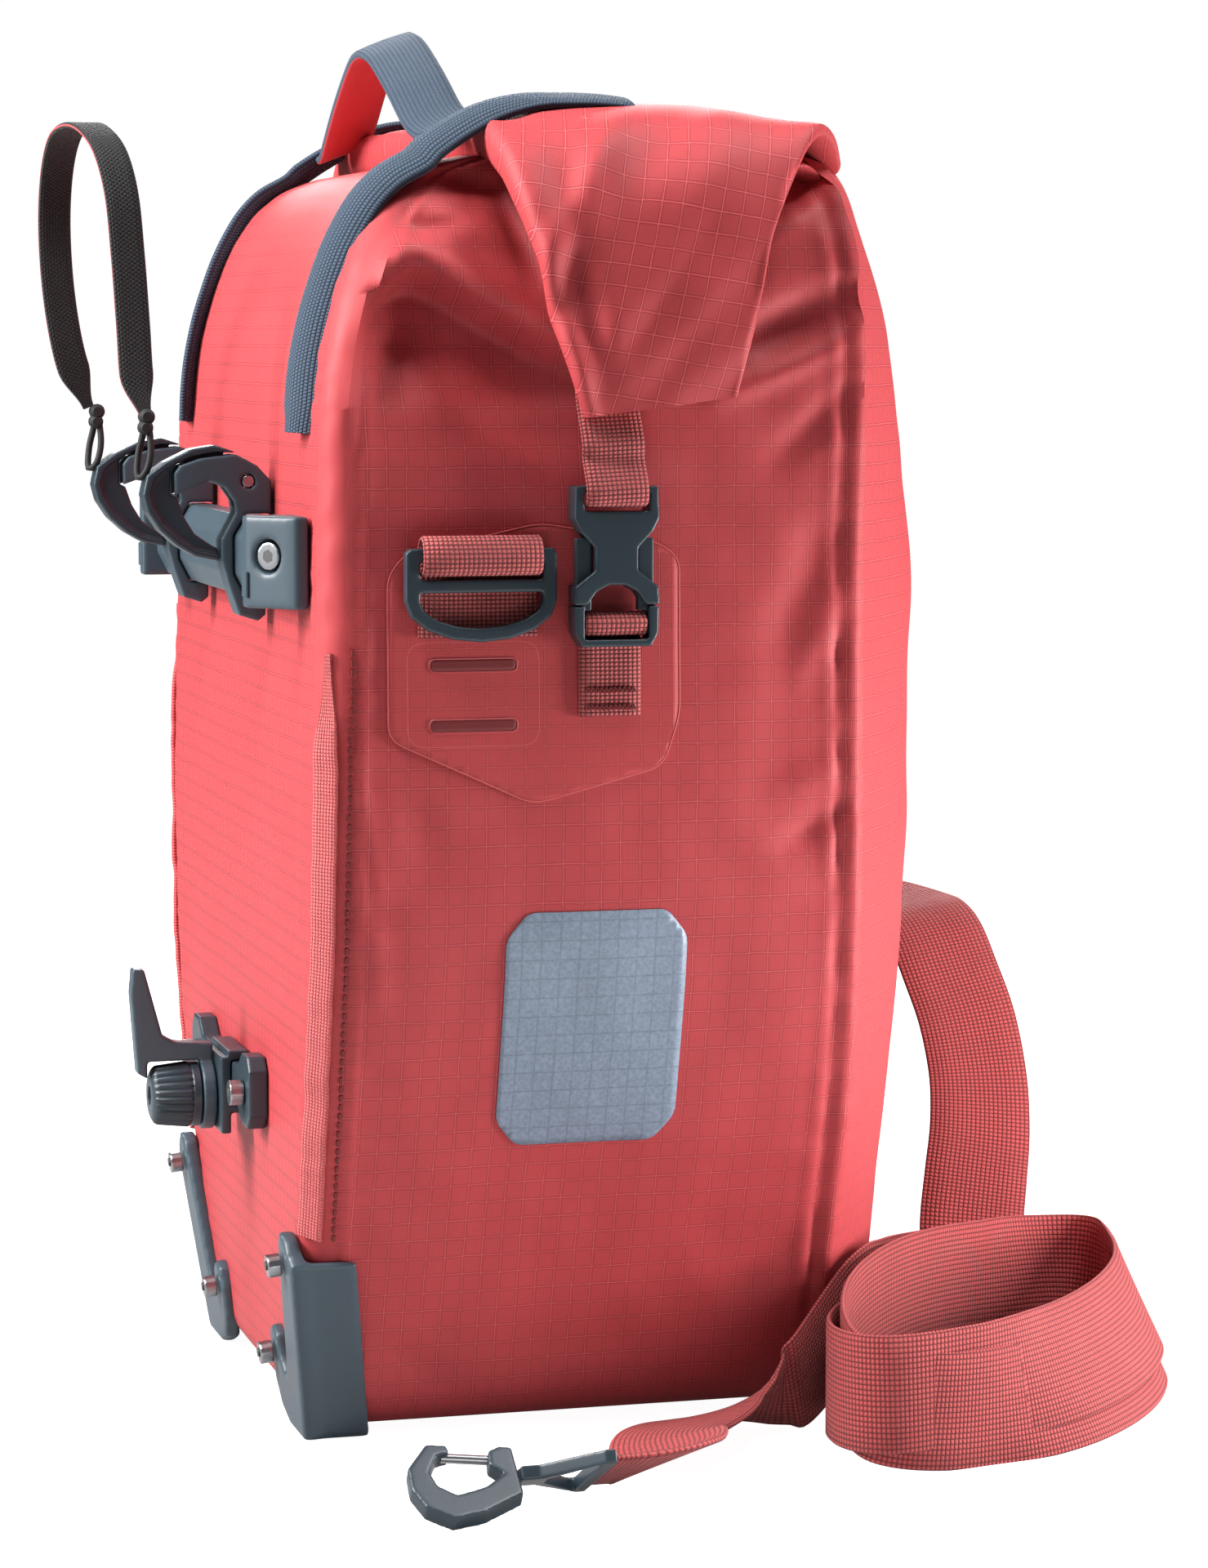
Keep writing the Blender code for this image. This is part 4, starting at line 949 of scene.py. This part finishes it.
ANCHOR = [
    (-25.5, 238), (-25.5, 287), (-19, 292), (19.5, 298.5), (63, 289), (68, 282), (68, 232), (22, 211),
    (-20, 222),
]
ANCHOR_TAB = [(20, 229.5), (20, 262), (62, 262), (62, 229.5)]
for sign, tag in SIDES:
    patch = on_side("anchor_" + tag, rounded_outline(ANCHOR, 5.0), 0.5, 0.7, M_PATCH, sign)
    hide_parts("anchor_patch_" + tag)
    weld_line("anchor_edge_" + tag, rounded_outline(ANCHOR, 5.0), 0.7, 0.28, M_WELD, sign)
    weld_line("anchor_tab_" + tag, rounded_outline(ANCHOR_TAB, 6.0), 0.65, 0.25, M_WELD, sign)
    for k, z in enumerate((254.8, 236)):
        low, high = z - 2.1, z + 2.1
        slot = rounded_outline([(27, low), (55, low), (55, high), (27, high)], 2.1)
        weld_line("anchor_slot_rim_%s_%d" % (tag, k), slot, 0.8, 0.4, M_PATCH_RIM, sign)
        # the dark sheet in each slot is painted shade for the hollow of the slot
        on_side("anchor_slot_%s_%d" % (tag, k), slot, 0.9, 0.3, M_SLOT_SHADE_AND_THREAD, sign, 1.6)

REFLECTOR = [(-22, 99.5), (-29, 108), (-29, 168), (-22, 176.5), (23, 176.5), (30, 168), (30, 108), (23, 99.5)]
patch = on_side("reflector", rounded_outline(REFLECTOR, 3.0), 0.35, 0.4, M_FILM)
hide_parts("reflector_patch")


# -------------------- hardware
HARDWARE = [        # node, material, rounds of smoothing, mesh size in mm
    ("d_ring", M_PETROL_DARK, 16, 0.4),
    ("buckle_female", M_PETROL_DARK, 9, 0.4),
    ("buckle_male", M_PETROL_DARK, 6, 0.4),
    ("rail_end_cap", M_PETROL, 45, 0.5),
    ("rail_screw", M_STEEL, 4, 0.35),
    ("hook", M_PETROL, 8, 0.45),
    ("latch", M_PETROL_DARK, 8, 0.45),
    ("latch_pin", M_STEEL, 3, 0.3),
    ("lower_rail_screw", M_STEEL, 4, 0.35),
    ("corner_guard", M_PETROL, 40, 0.7),
    ("snap_hook", M_PETROL_DARK, 22, 0.4),
    ("snap_swivel", M_PETROL_DARK, 9, 0.4),
]
for _, tag in SIDES:
    for node, mat, soft, grain in HARDWARE:
        refine("%s_%s" % (node, tag), mat, soft, grain)
    for place in ("outer", "inner"):
        refine("guard_screw_%s_%s" % (tag, place), M_STEEL, 4, 0.35)
refine("hook_rail", M_PETROL, 10, 0.6)
refine("lower_rail", M_PETROL_DARK, 12, 0.5)
refine("lower_slider", M_PETROL_DARK, 8, 0.45)
refine("lower_hook", M_PETROL, 10, 0.45)


def hook_point(tag, along, across):
    """Point on a snap hook's middle plane, from distances along and across the hook."""
    if tag == "left":       # the free hook lies on the ground, leaning
        lean = math.radians(33.0)
        return (-203.0 + across * math.cos(lean), along, 3.2 + across * math.sin(lean))
    return (HANG_X + across - 15.4, RING_Y, 206.2 + along)


for _, tag in SIDES:
    ends = hook_point(tag, 47.6, 22.4), hook_point(tag, 63.2, 24.8)
    gate = bar("snap_gate_%s_look" % tag, *ends, 1.5, M_STEEL, "snap_gate_" + tag)
    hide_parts("snap_gate_" + tag)


def node_box(node):
    low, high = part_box(node)
    return Vector(low) / MM, Vector(high) / MM


def make_knob():
    """Ribbed clamping knob: a cone with grip ribs, a plain collar and a screw in the middle."""
    low, high = node_box("clamp_knob")
    x, z, radius = (low.x + high.x) / 2, (low.z + high.z) / 2, (high.x - low.x) / 2
    long = high.y - low.y
    # distance up the knob, share of its radius, 1 where it has ribs
    rows = [(0.0, 0.93, 0), (0.4, 0.99, 0), (2.6, 0.99, 0), (3.0, 0.95, 0), (3.6, 0.95, 1), (4.2, 0.96, 1),
            (long - 2.2, 0.86, 1), (long - 1.2, 0.80, 1), (long - 0.4, 0.72, 0),
            (long, 0.62, 0), (long, 0.30, 0), (long - 1.6, 0.27, 0)]
    count, ribs = 168, 28
    verts, uvs = [], []
    for i, (up, part, ribbed) in enumerate(rows):
        for j in range(count):
            turn = 2 * math.pi * j / count
            grip = 0.55 * max(0.0, math.cos(ribs * turn)) * ribbed
            r = radius * part + grip
            verts.append((x + r * math.cos(turn), low.y + up, z + r * math.sin(turn)))
            uvs.append((j * 0.0004, i * 0.001))
    faces = ring_faces(len(rows), count)
    knob = piece("knob", verts, faces, uvs, [M_PETROL_DARK], "clamp_knob", smooth_angle=40)
    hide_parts("clamp_knob")
    bar("knob_screw", (x, high.y - 1.9, z), (x, high.y - 1.1, z), 2.6, M_STEEL, "clamp_knob", 6)


make_knob()


def socket(name, centre, axis, radius=1.7):
    """Dark hexagon in the end of a screw: painted shade standing in for its hexagonal recess."""
    centre, axis = Vector(centre), Vector(axis).normalized()
    bar(name, centre - axis * 0.4, centre + axis * 0.12, radius, M_BOARD_AND_RECESS_SHADE, count=6, bevel=0.1)


for node in [n for n in frame["nodes"] if n.startswith(("guard_screw", "lower_rail_screw"))]:
    low, high = node_box(node)
    socket(node + "_socket", ((low.x + high.x) / 2, high.y, (low.z + high.z) / 2), (0, 1, -0.1))
for sign, tag in SIDES:
    low, high = node_box("rail_screw_" + tag)
    middle = (low + high) / 2
    axis = Vector((sign * 10.5, 12.5, 0.0)).normalized()
    socket("rail_screw_socket_" + tag, middle + axis * 1.7, axis, radius=2.2)
    low, high = node_box("rail_end_cap_" + tag)
    for k in range(5):
        x = sign * (min(abs(low.x), abs(high.x)) + 1.4 + 1.5 * k)
        y = high.y - 0.25
        bar("grip_%s_%d" % (tag, k), (x, y, 274.8), (x, y, 283.0), 0.55, M_PETROL, count=8)
frame["nodes"]["back_board"].data.materials.clear()
frame["nodes"]["back_board"].data.materials.append(M_BOARD_AND_RECESS_SHADE)


def make_stiffener():
    """The stiffener strip bent down with the roll that hides it."""
    mesh = frame["nodes"]["rim_stiffener"].data.copy()
    mesh.materials.clear()
    mesh.materials.append(M_BOARD_AND_RECESS_SHADE)
    low, high = node_box("rim_stiffener")
    for v in mesh.vertices:
        y = clamp(v.co.y / MM, low.y, high.y)
        v.co.z -= (front_droop(y) + 0.5) * MM
        v.co.x *= 0.94
    strip = bpy.data.objects.new("rim_stiffener_look", mesh)
    bpy.context.scene.collection.objects.link(strip)
    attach(strip, "bag")
    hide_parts("rim_stiffener")


make_stiffener()


# -------------------- shoulder strap
HANG = [
    (HANG_X, RING_Y, 219.4), (HANG_X, 39, 208), (158.8, 36, 195), (160.3, 29, 178),
    (163, 16, 160), (166, -2, 143), (168.5, -24, 129), (170, -50, 119),
    (169, -78, 114), (165, -104, 115), (158, -128, 121), (148, -149, 129.5),
    (136, -166, 136.5), (122, -178, 140.5), (107, -185, 142), (96, -187.5, 140.5),
    (86, -190, 134), (76, -192.5, 121), (66, -195.8, 104), (57, -197, 84),
    (49, -195, 66), (42, -191, 49.5), (35, -187, 34), (28, -185, 21.5),
    (19, -184, 14), (9, -183.5, 14), (-1, -183, 17.5), (-10, -181.5, 20),
    (-18, -177, 20.5),
]
HANG_TURNS = [
    (1, 0, 0), (1, 0, 0), (1, 0, 0), (1, 0, 0), (0.98, 0.05, 0.2), (0.9, 0.1, 0.4),
    (0.75, 0.1, 0.65), (0.5, 0.1, 0.85), (0.25, 0.1, 0.95), (0.1, 0.1, 1), (0.05, 0, 1),
    (0, -0.3, 0.95), (0, -0.65, 0.75), (0, -0.9, 0.4), (0, -1, 0.15), (0, -1, 0.09),
    (0, -1, 0.06), (0, -1, 0.05), (0, -1, 0.04), (0, -1, 0.03), (-0.05, -1, 0.03),
    (-0.15, -1, 0.03), (-0.25, -1, 0.04), (-0.25, -1, 0.1), (-0.2, -1, 0.3),
    (-0.1, -0.75, 0.6), (-0.05, -0.4, 0.9), (0, -0.1, 1), (0, 0, 1),
]
TAIL = [
    (-116.5, -74, 18), (-118, -66, 15), (-120, -56, 12.5), (-124, -45, 10.5),
    (-132, -33.5, 10), (-142.5, -22.5, 10),
    (-154, -17, 10.2), (-165.5, -14.5, 10.6), (-177, -11.5, 11.2), (-185.5, -5, 11.6),
    (-189.6, 3, 11.6), (-190.1, 8.5, 11.6), (-190.1, 13.6, 11.6),
]
TAIL_TURNS = [
    (-0.35, 0.2, 0.95), (-0.6, 0.15, 0.75), (-0.85, 0, 0.5),
    (-0.95, -0.2, 0.35), (-0.9, -0.4, 0.2), (-0.8, -0.6, 0.15), (-0.7, -0.7, 0.2),
    (-0.7, -0.68, 0.3), (-0.72, -0.6, 0.38), (-0.78, -0.4, 0.42), (-0.85, -0.2, 0.438),
    (-0.9, -0.08, 0.438), (-0.9, 0, 0.438),
]

COIL_CENTRE, COIL_HALF = (-104.0, -139.5), (86.0, 28.0)
COIL_HEADING = -41.0                # degrees, the long way of the coil
COIL_START, COIL_END = 62.0, 834.0  # degrees round the coil: a little over two turns
LEAN_MIDDLE = 285.0                 # degrees, the side of the coil that leans
COIL_OUT = [        # laps round the coil, distance outside the middle turn
    (0, 3), (0.2, 9), (0.33, 6), (0.43, 6), (0.52, 13), (0.62, 15), (0.75, 14), (0.9, 6), (1.05, 2),
    (1.2, 4), (1.36, 3), (1.45, 9), (1.55, 16.5), (1.75, 15.5), (1.92, 10), (2.06, 9), (2.16, 10),
]
COIL_HEIGHT = [     # laps round the coil, height of the webbing's middle
    (0, 19.8), (0.2, 24), (0.36, 25.5), (0.5, 26.5), (0.75, 28.5), (0.93, 31), (1.07, 36), (1.16, 34),
    (1.28, 24), (1.4, 19.2), (1.5, 17.8), (1.75, 18.5), (1.9, 25), (2.03, 33), (2.1, 35), (2.16, 28),
]


def coil_points():
    """Turns standing on edge, from the hanging run round to the tail: route and width directions."""
    pts, turns = [], []
    heading = math.radians(COIL_HEADING)
    count = 60
    for k in range(count + 1):
        degrees = lerp(COIL_START, COIL_END, k / count)
        a = math.radians(degrees)
        lap = (degrees - COIL_START) / 360
        out = table(COIL_OUT, lap)[0]
        u, v = (COIL_HALF[0] + out) * math.cos(a), (COIL_HALF[1] + out) * math.sin(a)
        x = COIL_CENTRE[0] + u * math.cos(heading) - v * math.sin(heading)
        y = COIL_CENTRE[1] + u * math.sin(heading) + v * math.cos(heading)
        pts.append((x, y, table(COIL_HEIGHT, lap)[0]))
        facing = (degrees - LEAN_MIDDLE + 180) % 360 - 180
        lean = smooth(-62.0, -22.0, facing) * smooth(130.0, 80.0, facing)
        turns.append((lean * 0.42, lean * 0.36, 1.0))
    return pts, turns


def make_strap():
    coil, coil_turns = coil_points()
    points = HANG + coil[1:-1] + TAIL
    turns = HANG_TURNS + coil_turns[1:-1] + TAIL_TURNS
    centre = []
    strap = band("shoulder_strap", points, turns, STRAP_WIDTH, 1.8, M_WEB, centre_out=centre)
    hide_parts("shoulder_strap_hang", "shoulder_strap_coil", "shoulder_strap_tail")


make_strap()

# -------------------- floor and light
floor = bpy.data.objects.new("floor", bpy.data.meshes.new("floor"))
floor.data.from_pydata([(-8, -8, 0), (8, -8, 0), (8, 8, 0), (-8, 8, 0)], [], [(0, 1, 2, 3)])
floor.location.z = -0.0004
bpy.context.scene.collection.objects.link(floor)
pale, tree, shader = new_look("floor", Roughness=0.95, Base_Color=(0.4, 0.4, 0.4, 1.0),
                              Emission_Color=(1.0, 1.0, 1.0, 1.0))
seen = tree.nodes.new("ShaderNodeLightPath").outputs["Is Camera Ray"]
tree.links.new(math_node(tree, 'MULTIPLY_ADD', seen, 0.9, 0.06), shader.inputs["Emission Strength"])
floor.data.materials.append(pale)
floor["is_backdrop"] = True

world = bpy.data.worlds.new("studio")
bpy.context.scene.world = world
world.use_nodes = True
tree = world.node_tree
backdrop = tree.nodes["Background"]
backdrop.inputs["Color"].default_value = (1.0, 1.0, 1.0, 1.0)
seen = tree.nodes.new("ShaderNodeLightPath").outputs["Is Camera Ray"]
tree.links.new(math_node(tree, 'MULTIPLY_ADD', seen, 0.89, 0.11), backdrop.inputs["Strength"])


def softbox(name, where, target, size, power):
    light = bpy.data.lights.new(name, 'AREA')
    light.shape, light.size, light.size_y = 'RECTANGLE', size[0], size[1]
    light.energy = power
    obj = bpy.data.objects.new(name, light)
    obj.location = where
    obj.rotation_euler = (Vector(target) - Vector(where)).to_track_quat('-Z', 'Y').to_euler()
    obj.visible_camera = False
    bpy.context.scene.collection.objects.link(obj)


softbox("key", (0.05, 1.15, 0.85), (0, 0, 0.2), (0.4, 0.8), 36.0)
softbox("side", (-0.25, -0.44, 0.16), (-0.12, 0, 0.16), (0.1, 0.22), 3.1)
softbox("top", (-0.22, -0.42, 1.2), (0, 0, 0.4), (0.35, 0.35), 9.0)
softbox("shoulder", (-0.27, 0.5, 1.05), (-0.1, 0.03, 0.4), (0.25, 0.25), 5.5)
softbox("far", (1.15, -0.25, 0.75), (0, 0, 0.2), (0.7, 0.7), 16.0)
softbox("low", (-0.42, 0.0, 0.03), (-0.1, 0, 0.06), (0.4, 0.05), 0.22)
bpy.context.scene.view_settings.view_transform = 'Standard'

note_size("finish")
